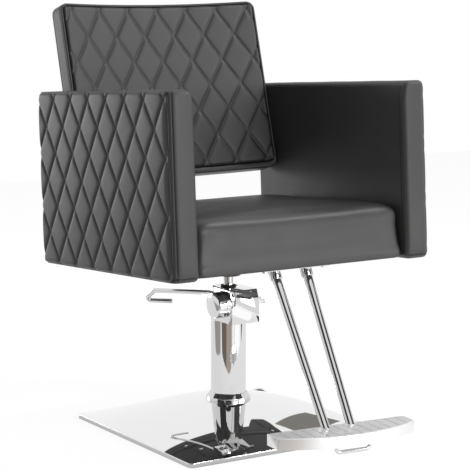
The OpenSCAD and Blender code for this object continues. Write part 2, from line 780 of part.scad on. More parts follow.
module pump_head() {
    ram_hole = ram_d + 8 * run;
    color([0.86, 0.86, 0.88])
        difference() {
            union() {
                translate([0, 0, cylinder_top])
                    cylinder(d = sleeve_d, h = head_drum_top - cylinder_top, $fn = fine);
                translate([0, 0, cylinder_top])
                    cylinder(d = head_w, h = head_top - cylinder_top, $fn = fine);
                rotate([90, 0, 90])
                    translate([0, 0, -head_w / 2])
                        linear_extrude(height = head_w)
                            polygon([[-head_reach, cylinder_top], [-head_reach, head_brow],
                                [head_lean - head_reach, head_top], [0, head_top], [0, cylinder_top]]);
                translate([-head_w / 2 - head_cheek_t, -shaft_front, shaft_z])
                    rotate([0, 90, 0])
                        cylinder(d = cheek_d, h = head_cheek_t + over, $fn = fine);
                tube(cylinder_d - 2 * cylinder_wall - 4 * run, pressure_d, cylinder_top - cylinder_floor_t / 2,
                    cylinder_floor_t);
            }
            translate([0, 0, cylinder_top - cylinder_floor_t])
                cylinder(d = pressure_d + 4 * run, h = cylinder_floor_t, $fn = fine);
            translate([0, 0, cylinder_top - over])
                cylinder(d = ram_hole, h = head_top - cylinder_top + 2 * over, $fn = bore);
            translate([0, 0, head_top - wiper_t + wiper_proud - bush_h])
                cylinder(d = bush_d, h = bush_h + over, $fn = bore);
            translate([0, 0, head_top - wiper_t + wiper_proud])
                cylinder(d = wiper_d, h = wiper_t, $fn = bore);
            translate([-head_w, -shaft_front, shaft_z])
                rotate([0, 90, 0])
                    cylinder(d = shaft_d + 2 * run, h = 2 * head_w, $fn = bore);
            translate([-cam_room_w / 2, -shaft_front - shaft_d / 2 - over, cam_room_z])
                cube([cam_room_w, shaft_d / 2 + 2 * over + plunger_back + plunger_head_d / 2,
                    shaft_z + shaft_d / 2 + over - cam_room_z]);
            translate([0, plunger_y, cylinder_top - cylinder_floor_t])
                cylinder(d = plunger_d + 2 * run, h = cam_room_z - cylinder_top + cylinder_floor_t + over,
                    $fn = bore);
        }
}

module ram_bush() {
    color([0.7, 0.52, 0.28])
        tube(bush_d, ram_d + 2 * run, head_top - wiper_t + wiper_proud - bush_h, bush_h);
}

module wiper_ring() {
    color([0.05, 0.05, 0.05])
        tube(wiper_d, ram_d + 2 * run, head_top - wiper_t + wiper_proud, wiper_t);
}

module return_spring() {
    rise = plunger_top - plunger_head_t - cam_room_z - spring_wire;
    r = (plunger_d + spring_wire) / 2 + 4 * run;
    m = 6;
    steps = 12 * spring_turns;
    color([0.6, 0.6, 0.62])
        translate([0, plunger_y, cam_room_z + spring_wire / 2])
            polyhedron(
                points = [for (k = [0:steps], j = [0:m - 1])
                    let (a = 360 * spring_turns * k / steps, t = 360 * (j + 1 / 2) / m,
                        q = r + spring_wire / 2 * cos(t))
                    [q * cos(a), q * sin(a), rise * k / steps + spring_wire / 2 * sin(t)]],
                faces = concat(
                    [for (k = [0:steps - 1], j = [0:m - 1])
                        let (p = k * m, e = (j + 1) % m)
                        for (f = [[p + j, p + e, p + m + e], [p + j, p + m + e, p + m + j]]) f],
                    [[for (j = [m - 1:-1:0]) j], [for (j = [0:m - 1]) steps * m + j]]));
}

module piston() {
    color([0.6, 0.6, 0.63])
        difference() {
            translate([0, 0, piston_z])
                cylinder(d = pressure_bore - 2 * run, h = piston_h, $fn = fine);
            translate([0, 0, piston_z + piston_h - spigot_h])
                cylinder(d = spigot_d + 2 * run, h = spigot_h + over, $fn = bore);
            for (s = [0, 1])
                tube(pressure_bore + over, pressure_bore - 2 * seal_depth,
                    piston_z + seal_w + s * 3 * seal_w, seal_w);
        }
}

module piston_seals() {
    color([0.05, 0.05, 0.05])
        for (s = [0, 1])
            tube(pressure_bore - 2 * run, pressure_bore - 2 * seal_depth,
                piston_z + seal_w + s * 3 * seal_w, seal_w);
}

module thrust_washer() {
    color([0.7, 0.52, 0.28])
        tube(pressure_bore - 8 * run, spigot_d + 2 * run, piston_z + piston_h, washer_t);
}

module ram() {
    color([0.9, 0.9, 0.92]) {
        translate([0, 0, ram_z])
            cylinder(d = ram_d, h = ram_top - ram_z, $fn = bore);
        translate([0, 0, ram_z - washer_t - spigot_h + over])
            cylinder(d = spigot_d, h = spigot_h + washer_t, $fn = bore);
    }
}

module pump_lever() {
    hub_x = -head_w / 2 - head_cheek_t - 4 * run - lever_hub_t;
    rod_x = hub_x + lever_hub_t / 2;
    root = [rod_x, rod_root_back - shaft_front, shaft_z + rod_rise];
    bend = [-rod_bend_side, rod_bend_back, rod_bend_z];
    outer = [-bar_out_side, bar_out_back, bar_z];
    inner = [bar_in_side, bar_in_back, bar_z];
    color([0.9, 0.9, 0.92])
        difference() {
            union() {
                translate([hub_x, -shaft_front, shaft_z])
                    rotate([0, 90, 0])
                        cylinder(d = cheek_d, h = lever_hub_t, $fn = fine);
                rod([rod_x, -shaft_front, shaft_z + rod_rise], root, rod_d);
                joint_ball(root, rod_d);
                rod(root, bend, rod_d);
                joint_ball(bend, rod_d);
                rod(bend, outer, rod_d);
                joint_ball(outer, rod_d);
                rod(outer, inner, rod_d);
                joint_ball(inner, rod_d);
            }
            translate([hub_x - over, -shaft_front, shaft_z])
                rotate([0, 90, 0])
                    cylinder(d = shaft_d + 2 * run, h = lever_hub_t + 2 * over, $fn = bore);
            translate([rod_x, -shaft_front - cheek_d, shaft_z])
                rotate([-90, 0, 0])
                    cylinder(d = screw_d + 2 * run, h = cheek_d, $fn = small);
            translate([rod_x, -shaft_front - cheek_d, shaft_z])
                rotate([-90, 0, 0])
                    cylinder(d = screw_head_d + 8 * run, h = cheek_d / 2 + screw_head_h, $fn = small);
        }
}

module lever_screw() {
    rod_x = -head_w / 2 - head_cheek_t - 4 * run - lever_hub_t / 2;
    color([0.5, 0.5, 0.52])
        translate([rod_x, -shaft_front - cheek_d / 2 + screw_head_h, shaft_z])
            rotate([-90, 0, 0])
                bolt(screw_d, screw_head_d, screw_head_h, cheek_d / 2 - screw_head_h - shaft_d / 2 - 2 * run);
}

module lever_shaft() {
    left = head_w / 2 + head_cheek_t + 4 * run + lever_hub_t;
    color([0.6, 0.6, 0.62])
        translate([-left, -shaft_front, shaft_z])
            rotate([0, 90, 0])
                cylinder(d = shaft_d, h = left + head_w / 2 + 4 * run, $fn = bore);
}

module pump_cam() {
    color([0.4, 0.4, 0.42])
        translate([-cam_w / 2, 0, 0])
            difference() {
                rotate([90, 0, 90])
                    linear_extrude(height = cam_w)
                        union() {
                            translate([plunger_y, cam_nose_z])
                                circle(r = cam_nose_r - 2 * run, $fn = small);
                            polygon([[-shaft_front, shaft_z + cam_nose_r + 2 * over],
                                [-shaft_front, plunger_top + 2 * run],
                                [plunger_y, plunger_top + 2 * run],
                                [plunger_y + cam_nose_r - 2 * run, cam_nose_z]]);
                        }
                translate([-over, -shaft_front, shaft_z])
                    rotate([0, 90, 0])
                        cylinder(d = shaft_d + 2 * run, h = cam_w + 2 * over, $fn = bore);
            }
}

module shaft_tab() {
    x = head_w / 2 + 4 * run;
    color([0.9, 0.9, 0.92])
        translate([x, -shaft_front, shaft_z]) {
            rotate([0, 90, 0])
                cylinder(d = tab_stub_d, h = tab_stub_len, $fn = small);
            translate([tab_stub_len - tab_t, -tab_t / 2, -tab_h / 2])
                cube([tab_len, tab_t, tab_h]);
        }
}

module pump_plunger() {
    color([0.6, 0.6, 0.62])
        translate([0, plunger_y, 0]) {
            translate([0, 0, cylinder_top + over])
                cylinder(d = plunger_d, h = plunger_top - cylinder_top - over, $fn = bore);
            translate([0, 0, plunger_top - plunger_head_t])
                cylinder(d = plunger_head_d, h = plunger_head_t, $fn = bore);
        }
}

module seat_mount() {
    color([0.15, 0.15, 0.16])
        difference() {
            union() {
                leaned()
                    rounded_prism(mount_w, mount_w, steel_t * 2, seat_z - steel_t, steel_t);
                translate([0, 0, mount_hub_z])
                    cylinder(d = mount_hub_d, h = seat_z - steel_t / 2 - mount_hub_z, $fn = fine);
            }
            translate([0, 0, mount_hub_z - over])
                cylinder(d = ram_d + 2 * run, h = ram_top - mount_hub_z + over, $fn = bore);
            leaned()
                for (sx = [-1, 1], sy = [-1, 1])
                    translate([sx * mount_bolt_span / 2, sy * mount_bolt_span / 2, seat_z - steel_t - over])
                        cylinder(d = bolt_d + 4 * run, h = steel_t + 2 * over, $fn = small);
        }
}

module mount_bolts() {
    color([0.5, 0.5, 0.52])
        leaned()
            for (sx = [-1, 1], sy = [-1, 1])
                translate([sx * mount_bolt_span / 2, sy * mount_bolt_span / 2, seat_z - steel_t])
                    bolt(bolt_d, bolt_head_d, bolt_head_h, wood_screw_len);
}

module board_holes(x, y, d) {
    for (sx = [-1, 1], sy = [-1, 1])
        translate([sx * x, sy * y, seat_z - over])
            cylinder(d = d + 2 * run, h = wood_screw_len - steel_t + over, $fn = small);
}

// Places of the screws that go up into the seat board: [x, y]
function seat_screw_spots() = [for (sx = [-1, 1], y = [-bar_front_at, bar_rear_at]) [sx * mount_w / 2, y]];
function arm_screw_spots() = [for (sx = [-1, 1], y = [-bar_front_at, bar_rear_at])
    [sx * (gap_half + cover_t + screw_head_d), y]];
function tube_screw_spots() = [for (sx = [-1, 1], sy = [-1, 1])
    [sx * (tube_mount_w / 2 - screw_head_d), sy * (tube_mount_d / 2 - screw_head_d) - tube_top_y]];

module seat_board() {
    color([0.75, 0.6, 0.42])
        leaned()
            difference() {
                translate([-board_w / 2, board_inset - seat_front, seat_z])
                    cube([board_w, board_d, board_t]);
                board_holes(mount_bolt_span / 2, mount_bolt_span / 2, bolt_d);
                for (p = concat(seat_screw_spots(), tube_screw_spots()))
                    translate([p[0], p[1], seat_z - over])
                        cylinder(d = screw_d + 2 * run, h = wood_screw_len - steel_t + over, $fn = small);
            }
}

module seat_underlay() {
    color([0.04, 0.04, 0.04])
        leaned()
            difference() {
                translate([-board_w / 2, board_inset - seat_front, seat_z - underlay_t])
                    cube([board_w, board_d, underlay_t]);
                translate([0, 0, seat_z - underlay_t - over]) {
                    for (y = [-bar_front_at, bar_rear_at])
                        translate([-board_w, y - bar_w / 2 - over, 0])
                            cube([2 * board_w, bar_w + 2 * over, underlay_t + 2 * over]);
                    translate([-mount_w / 2 - over, -mount_w / 2 - over, 0])
                        cube([mount_w + 2 * over, mount_w + 2 * over, underlay_t + 2 * over]);
                    translate([-tube_mount_w / 2 - over, -tube_top_y - tube_mount_d / 2 - over, 0])
                        cube([tube_mount_w + 2 * over, tube_mount_d + 2 * over, underlay_t + 2 * over]);
                }
            }
}

module seat_cushion() {
    color([0.09, 0.09, 0.095])
        leaned()
            difference() {
                translate([0, seat_mid_y, seat_z])
                    cushion(seat_w, seat_depth, seat_h, seat_corner_r, seat_edge_r, seat_crown);
                translate([-board_w / 2, board_inset - seat_front, seat_z - over])
                    cube([board_w, board_d, board_t + over]);
            }
}

module cross_bars() {
    color([0.15, 0.15, 0.16])
        leaned()
            difference() {
                for (y = [-bar_front_at, bar_rear_at])
                    translate([-bar_len / 2, y - bar_w / 2, seat_z - steel_t])
                        cube([bar_len, bar_w, steel_t]);
                for (p = concat(seat_screw_spots(), arm_screw_spots()))
                    translate([p[0], p[1], seat_z - steel_t - over])
                        cylinder(d = screw_d + 2 * run, h = steel_t + 2 * over, $fn = small);
            }
}

module cross_bar_screws() {
    color([0.5, 0.5, 0.52])
        leaned()
            for (p = concat(seat_screw_spots(), arm_screw_spots()))
                translate([p[0], p[1], seat_z - steel_t])
                    bolt(screw_d, screw_head_d, screw_head_h, wood_screw_len);
}

// Places of the bolts between an arm and the backrest, as heights up the backrest
function back_bolt_spots() = [back_bolt_low, back_bolt_low + back_bolt_step];

module back_frame_place() {
    translate([0, back_y, back_z])
        rotate([-back_lean, 0, 0])
            children();
}

// Bolts along X through the left arm's frame into the backrest's uprights
module back_bolt_line(d, x, len) {
    back_frame_place()
        for (h = back_bolt_spots())
            translate([x, back_t - back_cover_t - upright_t / 2, h])
                rotate([0, 90, 0])
                    cylinder(d = d, h = len, $fn = small);
}

module arm_frame_left() {
    color([0.75, 0.6, 0.42])
        difference() {
            leaned()
                difference() {
                    translate([gap_half + cover_t, cover_t - arm_front, arm_z + cover_t])
                        cube([frame_w, arm_len - 2 * cover_t, arm_h - 2 * cover_t]);
                    for (p = arm_screw_spots())
                        translate([p[0], p[1], arm_z])
                            cylinder(d = screw_d + 2 * run, h = wood_screw_len, $fn = small);
                }
            back_bolt_line(bolt_d + 4 * run, gap_half - over, arm_w);
            back_bolt_line(bolt_head_d + 8 * run, panel_face_x - bolt_head_h - 2 * over, arm_w);
        }
}

module arm_cover_left() {
    color([0.09, 0.09, 0.095])
        difference() {
            leaned()
                difference() {
                    translate([gap_half + cover_w / 2, arm_mid_y, arm_z + arm_h / 2])
                        soft_box(cover_w, arm_len, arm_h, arm_edge_r);
                    translate([gap_half + cover_t, cover_t - arm_front, arm_z + cover_t])
                        cube([cover_w, arm_len - 2 * cover_t, arm_h - 2 * cover_t]);
                    for (y = [-bar_front_at, bar_rear_at])
                        translate([gap_half - over, y - bar_w / 2, arm_z - over])
                            cube([bar_len / 2 - gap_half + over, bar_w, seat_z - arm_z + over]);
                    for (p = arm_screw_spots())
                        translate([p[0], p[1], arm_z])
                            cylinder(d = screw_d + 4 * run, h = wood_screw_len, $fn = small);
                }
            back_bolt_line(bolt_d + 4 * run, gap_half - over, arm_w);
        }
}

module arm_panel_left() {
    color([0.1, 0.1, 0.105])
        leaned()
            translate([panel_face_x, arm_mid_y, arm_z + panel_margin_z])
                rotate([0, 0, 90])
                    quilted_pad(panel_len, panel_h, panel_edge_t, panel_quilt_y - panel_len / 2,
                        panel_quilt_z, arm_pitch_w, arm_pitch_h, 0);
}

module arm_frame_right() {
    mirror([1, 0, 0])
        arm_frame_left();
}

module arm_cover_right() {
    mirror([1, 0, 0])
        arm_cover_left();
}

module arm_panel_right() {
    mirror([1, 0, 0])
        arm_panel_left();
}

// A curved slab of the backrest: between two depths behind the front, over its whole height
module back_slab(w, z, h, r, depth, t) {
    mid = back_curve - back_r;
    intersection() {
        translate([0, mid, z - over])
            difference() {
                cylinder(r = back_r + depth + t, h = h + 2 * over, $fn = sweep);
                translate([0, 0, -over])
                    cylinder(r = back_r + depth, h = h + 4 * over, $fn = sweep);
            }
        rotate([90, 0, 0])
            translate([0, z + h / 2, -back_curve - 2 * back_t])
                linear_extrude(height = 2 * back_curve + 3 * back_t)
                    rounded_square(w, h, r);
    }
}

module back_cover() {
    inner_w = back_w - 2 * back_cover_t;
    inner_r = back_corner_r - back_cover_t;
    color([0.09, 0.09, 0.095])
        difference() {
            back_frame_place()
                difference() {
                    back_slab(back_w, -back_skirt, back_h + back_skirt, back_corner_r, over, back_t - over);
                    back_slab(inner_w, -pad_gap, back_h - back_cover_t + pad_gap, inner_r, -over,
                        back_pad_t + 2 * over);
                    back_slab(inner_w, back_cover_t - back_skirt, back_h + back_skirt - 2 * back_cover_t,
                        inner_r, back_pad_t, back_t - back_cover_t - back_pad_t);
                }
            for (s = [0, 1])
                mirror([s, 0, 0])
                    back_bolt_line(bolt_d + 4 * run, gap_half - back_cover_t - 2 * over, arm_w);
        }
}

module back_frame() {
    inner_w = back_w - 2 * back_cover_t;
    frame_h = back_h + back_skirt - 2 * back_cover_t;
    color([0.75, 0.6, 0.42])
        difference() {
            back_frame_place() {
                back_slab(inner_w, back_cover_t - back_skirt, frame_h, back_corner_r - back_cover_t,
                    back_pad_t, ply_t);
                for (s = [0, 1])
                    mirror([s, 0, 0])
                        intersection() {
                            back_slab(inner_w, back_cover_t - back_skirt, frame_h,
                                back_corner_r - back_cover_t, back_pad_t + ply_t - over,
                                back_t - back_cover_t - back_pad_t - ply_t + over);
                            translate([inner_w / 2 - upright_w, -back_t, -back_t])
                                cube([upright_w + over, 3 * back_t, back_h + 2 * back_t]);
                        }
            }
            for (s = [0, 1])
                mirror([s, 0, 0])
                    back_bolt_line(bolt_d + 2 * run, gap_half - upright_w - back_cover_t + 2 * over, arm_w);
        }
}

module back_cushion() {
    color([0.1, 0.1, 0.105])
        back_frame_place()
            translate([0, back_curve + back_pad_t, 0])
                quilted_pad(pad_w, back_h - back_cover_t - pad_gap, back_pad_t, 0, back_quilt_z,
                    back_pitch_w, back_pitch_h, back_r + back_pad_t);
}

module back_bolts() {
    color([0.5, 0.5, 0.52])
        for (s = [0, 1])
            mirror([s, 0, 0])
                back_frame_place()
                    for (h = back_bolt_spots())
                        translate([panel_face_x - 2 * over, back_t - back_cover_t - upright_t / 2, h])
                            rotate([0, -90, 0])
                                translate([0, 0, bolt_head_h])
                                    bolt(bolt_d, bolt_head_d, bolt_head_h, arm_bolt_len);
}

module tube_place() {
    for (s = [0, 1])
        mirror([s, 0, 0])
            translate([tube_low_x, -tube_low_y, tube_low_z])
                rotate([-tube_slope, 0, tube_bent_out])
                    children();
}

module footrest_mount() {
    color([0.15, 0.15, 0.16])
        difference() {
            union() {
                leaned()
                    translate([0, -tube_top_y, 0])
                        rounded_prism(tube_mount_w, tube_mount_d, steel_t, seat_z - steel_t, steel_t);
                intersection() {
                    tube_place()
                        translate([0, 0, tube_len - tube_socket_h])
                            cylinder(d = tube_socket_d, h = tube_socket_h + tube_socket_d, $fn = bore);
                    leaned()
                        translate([-tube_mount_w, -tube_top_y - 2 * tube_mount_d, seat_z - tube_mount_d])
                            cube([2 * tube_mount_w, 4 * tube_mount_d, tube_mount_d - steel_t / 2]);
                }
            }
            tube_place()
                translate([0, 0, tube_len - 2 * tube_socket_h])
                    cylinder(d = tube_d + 2 * run, h = 2 * tube_socket_h - steel_t, $fn = bore);
            leaned()
                for (p = tube_screw_spots())
                    translate([p[0], p[1], seat_z - steel_t - over])
                        cylinder(d = screw_d + 4 * run, h = steel_t + 2 * over, $fn = small);
        }
}

module footrest_screws() {
    color([0.5, 0.5, 0.52])
        leaned()
            for (p = tube_screw_spots())
                translate([p[0], p[1], seat_z - steel_t])
                    bolt(screw_d, screw_head_d, screw_head_h, wood_screw_len);
}

module footrest_tubes() {
    color([0.9, 0.9, 0.92])
        difference() {
            tube_place()
                cylinder(d = tube_d, h = tube_len - steel_t, $fn = bore);
            tube_place() {
                translate([0, 0, footplate_h])
                    cylinder(d = tube_d - 2 * tube_wall, h = tube_len, $fn = bore);
                translate([0, 0, -over])
                    cylinder(d = screw_d + 2 * run, h = footplate_h + 2 * over, $fn = small);
            }
        }
}

module footplate_turned() {
    translate([0, -tube_low_y, 0])
        rotate([0, 0, -footplate_turn])
            translate([0, tube_low_y, 0])
                children();
}

module crescent(w, rear, front) {
    intersection() {
        translate([0, footplate_r - footplate_front])
            circle(r = footplate_r - (footplate_front - front), $fn = sweep);
        translate([-w / 2, -front])
            square([w, front - rear]);
    }
}

module footplate() {
    color([0.72, 0.72, 0.73])
        difference() {
            union() {
                footplate_turned() {
                    difference() {
                        translate([0, 0, footplate_top - footplate_h])
                            linear_extrude(height = footplate_h)
                                crescent(footplate_w, footplate_rear, footplate_front);
                        translate([0, 0, footplate_top - footplate_h - over])
                            linear_extrude(height = footplate_h - footplate_wall + over)
                                crescent(footplate_w - 2 * footplate_wall,
                                    footplate_rear + footplate_wall, footplate_front - footplate_wall);
                        for (i = [0:groove_count - 1])
                            translate([(i - (groove_count - 1) / 2) * footplate_w / (groove_count + 1)
                                - groove_w / 2, -footplate_front - over, footplate_top - groove_depth])
                                cube([groove_w, footplate_depth - footplate_wall, groove_depth + over]);
                    }
                    for (sx = [-1, 1])
                        translate([sx * loop_w / 2, loop_back - footplate_front, footplate_top - footplate_h])
                            cylinder(d = loop_d + 2 * footplate_wall, h = footplate_h - footplate_wall / 2,
                                $fn = small);
                }
                intersection() {
                    tube_place()
                        translate([0, 0, -footplate_h])
                            cylinder(d = boss_d, h = 2 * footplate_h, $fn = small);
                    translate([-footplate_w / 2, -footplate_front, footplate_top - footplate_h])
                        cube([footplate_w, footplate_depth + boss_d, footplate_h - footplate_wall / 2]);
                }
            }
            tube_place()
                cylinder(d = tube_d + 2 * run, h = 2 * footplate_h, $fn = bore);
            footplate_turned()
                for (sx = [-1, 1])
                    translate([sx * loop_w / 2, loop_back - footplate_front, footplate_top - footplate_h - over])
                        cylinder(d = loop_d + 2 * run, h = footplate_h - footplate_wall + over, $fn = bore);
            tube_place() {
                translate([0, 0, -2 * footplate_h])
                    cylinder(d = screw_d + 2 * run, h = 4 * footplate_h, $fn = small);
                translate([0, 0, -footplate_wall - 2 * footplate_h])
                    cylinder(d = screw_head_d + 4 * run, h = 2 * footplate_h, $fn = small);
            }
        }
}

module footplate_screws() {
    color([0.5, 0.5, 0.52])
        tube_place()
            translate([0, 0, -footplate_wall])
                bolt(screw_d, screw_head_d, screw_head_h, footplate_h);
}

module footplate_loop() {
    low_z = footplate_top - footplate_h - loop_drop + loop_d / 2;
    y = loop_back - footplate_front;
    color([0.9, 0.9, 0.92])
        footplate_turned() {
            for (sx = [-1, 1]) {
                rod([sx * loop_w / 2, y, low_z], [sx * loop_w / 2, y, footplate_top - footplate_wall - over], loop_d);
                joint_ball([sx * loop_w / 2, y, low_z], loop_d);
            }
            rod([-loop_w / 2, y, low_z], [loop_w / 2, y, low_z], loop_d);
        }
}

base_feet();
base_weight();
base_hub();
hub_screws();
base_plate();
column_bolts();
pump_cylinder();
pressure_tube();
column_sleeve();
column_collar();
pump_head();
ram_bush();
wiper_ring();
return_spring();
piston();
piston_seals();
thrust_washer();
ram();
pump_lever();
lever_shaft();
lever_screw();
pump_cam();
shaft_tab();
pump_plunger();
seat_mount();
mount_bolts();
seat_board();
seat_underlay();
seat_cushion();
cross_bars();
cross_bar_screws();
arm_frame_right();
arm_cover_right();
arm_panel_right();
arm_frame_left();
arm_cover_left();
arm_panel_left();
back_frame();
back_cover();
back_cushion();
back_bolts();
footrest_mount();
footrest_screws();
footrest_tubes();
footplate();
footplate_screws();
footplate_loop();
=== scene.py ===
import json
import math

import bmesh
import bpy
import numpy as np
from mathutils import Matrix, Vector


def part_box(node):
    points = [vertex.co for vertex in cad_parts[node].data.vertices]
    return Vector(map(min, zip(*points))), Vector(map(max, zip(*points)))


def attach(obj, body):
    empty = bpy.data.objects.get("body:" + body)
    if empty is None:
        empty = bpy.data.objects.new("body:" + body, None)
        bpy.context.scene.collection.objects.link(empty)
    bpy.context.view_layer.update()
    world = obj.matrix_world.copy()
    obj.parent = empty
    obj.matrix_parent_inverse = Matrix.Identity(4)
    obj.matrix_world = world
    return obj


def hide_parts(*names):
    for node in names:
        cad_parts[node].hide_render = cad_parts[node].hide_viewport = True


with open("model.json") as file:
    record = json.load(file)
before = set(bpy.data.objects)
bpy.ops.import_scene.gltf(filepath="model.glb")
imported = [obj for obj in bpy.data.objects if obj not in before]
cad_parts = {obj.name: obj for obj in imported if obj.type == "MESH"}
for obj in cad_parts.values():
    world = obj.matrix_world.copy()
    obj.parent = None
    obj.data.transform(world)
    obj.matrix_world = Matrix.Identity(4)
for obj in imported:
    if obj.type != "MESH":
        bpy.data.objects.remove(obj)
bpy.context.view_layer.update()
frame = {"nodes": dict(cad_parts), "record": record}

# Driving dimensions in metres. Those that the part's source has too keep its names and sizes, and those
# that only the looks need have names of their own.
MM = 0.001
base_side = 500 * MM
base_corner_r = 12 * MM
base_lip = 11 * MM
base_top = 66 * MM
dome_peak = 72 * MM
dome_bend = 1.43
dome_fill = 0.77
sleeve_foot_h = 10 * MM
cylinder_top = 246 * MM
sleeve_d = 79.4 * MM
sleeve_skin_t = 1.2 * MM
sleeve_gap = 0.2 * MM
sleeve_ease = 0.5 * MM
collar_d = 99 * MM
collar_top_d = 82.4 * MM
collar_band_h = 7 * MM
collar_cone_h = 10 * MM
collar_gap = 0.15 * MM
collar_ease = 0.9 * MM
head_w = 70.4 * MM
ram_d = 22 * MM
ram_top = 371 * MM
ram_neck_h = 10 * MM
ram_neck_cut = 6 * MM
ram_centre_r = 1 * MM
ram_ease = 0.8 * MM
shaft_z = 288 * MM
shaft_front = 40 * MM
shaft_d = 14 * MM
cheek_d = 58 * MM
head_cheek_t = 10 * MM
lever_hub_t = 23 * MM
lever_gap = 0.2 * MM
hub_bulge = 5.5 * MM
hub_proud = 0.3 * MM
hub_flat_rim = 0.4 * MM
hub_ease = 0.5 * MM
hub_centre_r = 0.4 * MM
rod_d = 11 * MM
rod_root_back = 30 * MM
rod_rise = 23 * MM
rod_bend = (-95 * MM, 162 * MM, 294 * MM)
bar_out = (-106 * MM, 194 * MM, 268 * MM)
bar_in = (-58 * MM, 146 * MM, 268 * MM)
bend_r = 13 * MM
overall_w = 650 * MM
arm_w = 65 * MM
seat_tilt = math.radians(3.5)
tilt_z = 400 * MM
seat_z = 384 * MM
seat_h = 116 * MM
seat_crown = 8 * MM
seat_edge_r = 24 * MM
seat_foot_corner_r = 18 * MM
seat_upper_corner_r = 27 * MM
seat_front = 293 * MM
seat_rear = 191 * MM
seat_gap = 1 * MM
arm_front = 308 * MM
arm_rear = 266 * MM
arm_z = 379 * MM
arm_h = 383 * MM
arm_soft_r = 12 * MM
arm_front_r = 24 * MM
arm_brow = (13 * MM, 46 * MM)
panel_edge_t = 4 * MM
panel_margin_z = 3 * MM
panel_margin_y = 3 * MM
panel_quilt_z = 10 * MM
panel_quilt_y = 14 * MM
arm_pitch = (79.6 * MM, 117.2 * MM)
back_pitch = (77.8 * MM, 119.5 * MM)
back_quilt_z = 14 * MM
quilt_puff = 5 * MM
pad_edge_r = 7 * MM
pad_corner_r = 14 * MM
back_gap = 1 * MM
back_h = 390 * MM
back_skirt = 14 * MM
back_curve = 28 * MM
back_lean = math.radians(15.6)
back_y = 189.4 * MM
back_z = 567.8 * MM
back_corner_r = 20 * MM
back_least_r = 6 * MM
back_rear = 52 * MM
back_cover_t = 6 * MM
back_pad_t = 14 * MM
tube_d = 19 * MM
tube_top = (40 * MM, -237 * MM)
tube_low = (31 * MM, -421 * MM, 86 * MM)
tube_board_gap = 2.5 * MM
tube_end_cut = 5 * MM
footplate_top = 94 * MM
footplate_h = 23 * MM
footplate_wall = 5 * MM
footplate_w = 322 * MM
footplate_rear = 409 * MM
footplate_front = 499 * MM
footplate_end = 42 * MM
groove_count = 12
groove_line_w = 1.5 * MM
groove_line_depth = 1.3 * MM
boss_d = 30 * MM
boss_up = 0.5 * MM
boss_sunk = 1 * MM
footplate_turn = math.radians(5)
plate_sharp_from = math.radians(30)
loop_w = 78 * MM
loop_drop = 20 * MM
loop_d = 9 * MM
loop_back = 24 * MM
loop_bend_r = 9 * MM
loop_sunk = 1 * MM

half = base_side / 2
gap_half = overall_w / 2 - arm_w
cover_w = arm_w - panel_edge_t - quilt_puff
panel_face_x = gap_half + cover_w
back_w = 2 * (gap_half - back_gap)
back_r = (back_w ** 2 / 4 + back_curve ** 2) / (2 * back_curve)
arm_len = arm_front + arm_rear
panel_h = arm_h - 2 * panel_margin_z
pad_gap = 0.5 * MM
pad_w = back_w - 2 * back_cover_t - 2 * pad_gap
pad_h = back_h - back_cover_t - pad_gap

LEAN = (Matrix.Translation((0, 0, tilt_z)) @ Matrix.Rotation(-seat_tilt, 4, "X")
        @ Matrix.Translation((0, 0, -tilt_z)))
BACK = Matrix.Translation((0, back_y, back_z)) @ Matrix.Rotation(-back_lean, 4, "X")
FOOT = (Matrix.Translation((0, tube_low[1], 0)) @ Matrix.Rotation(-footplate_turn, 4, "Z")
        @ Matrix.Translation((0, -tube_low[1], 0)))


# Finishes

class Value:
    """A value worked out by the nodes of a finish; sums of values add maths nodes."""

    def __init__(self, network, socket):
        self.network = network
        self.socket = socket

    def maths(self, operation, first, second):
        return self.network.node("ShaderNodeMath", {"operation": operation}, {0: first, 1: second})

    def __add__(self, other):
        return self.maths("ADD", self, other)

    def __radd__(self, other):
        return self.maths("ADD", other, self)

    def __sub__(self, other):
        return self.maths("SUBTRACT", self, other)

    def __rsub__(self, other):
        return self.maths("SUBTRACT", other, self)

    def __mul__(self, other):
        return self.maths("MULTIPLY", self, other)

    def __rmul__(self, other):
        return self.maths("MULTIPLY", other, self)

    def __pow__(self, other):
        return self.maths("POWER", self, other)

    def larger(self, other):
        return self.maths("MAXIMUM", self, other)


class Network:
    """The nodes of one finish, or of the room's light."""

    def __init__(self, tree):
        self.tree = tree
        tree.nodes.clear()

    def node(self, kind, settings=None, sockets=None, output=0):
        """A node: its settings are made first, then its sockets' values or links."""
        made = self.tree.nodes.new(kind)
        for key, value in (settings or {}).items():
            setattr(made, key, value)
        for key, value in (sockets or {}).items():
            if isinstance(value, Value):
                self.tree.links.new(value.socket, made.inputs[key])
            else:
                made.inputs[key].default_value = value
        return Value(self, made.outputs[output]) if made.outputs else None

    def place(self):
        return self.node("ShaderNodeTexCoord", output="Object")

    def noise(self, scale, detail=2.0, roughness=0.5):
        return self.node("ShaderNodeTexNoise", {},
                         {"Vector": self.place(), "Scale": scale, "Detail": detail, "Roughness": roughness})

    def blend(self, share, first, second):
        return self.node("ShaderNodeMix", {"data_type": "RGBA"}, {0: share, 6: first, 7: second}, 2)

    def bump(self, height, strength, distance):
        return self.node("ShaderNodeBump", {},
                         {"Height": height, "Strength": strength, "Distance": distance})


def grey(level, warm=0.0):
    return (level * (1 + warm), level, level * (1 - warm), 1)


def surfaced(name, surface):
    """A material with the surface that is given for its network."""
    material = bpy.data.materials.new(name)
    material.use_nodes = True
    net = Network(material.node_tree)
    net.node("ShaderNodeOutputMaterial", {}, {"Surface": surface(net)})
    return material


def finish(name, build):
    """A finish of the chair: build gives the sockets of its shader."""
    return surfaced(name, lambda net: net.node("ShaderNodeBsdfPrincipled", {}, build(net)))


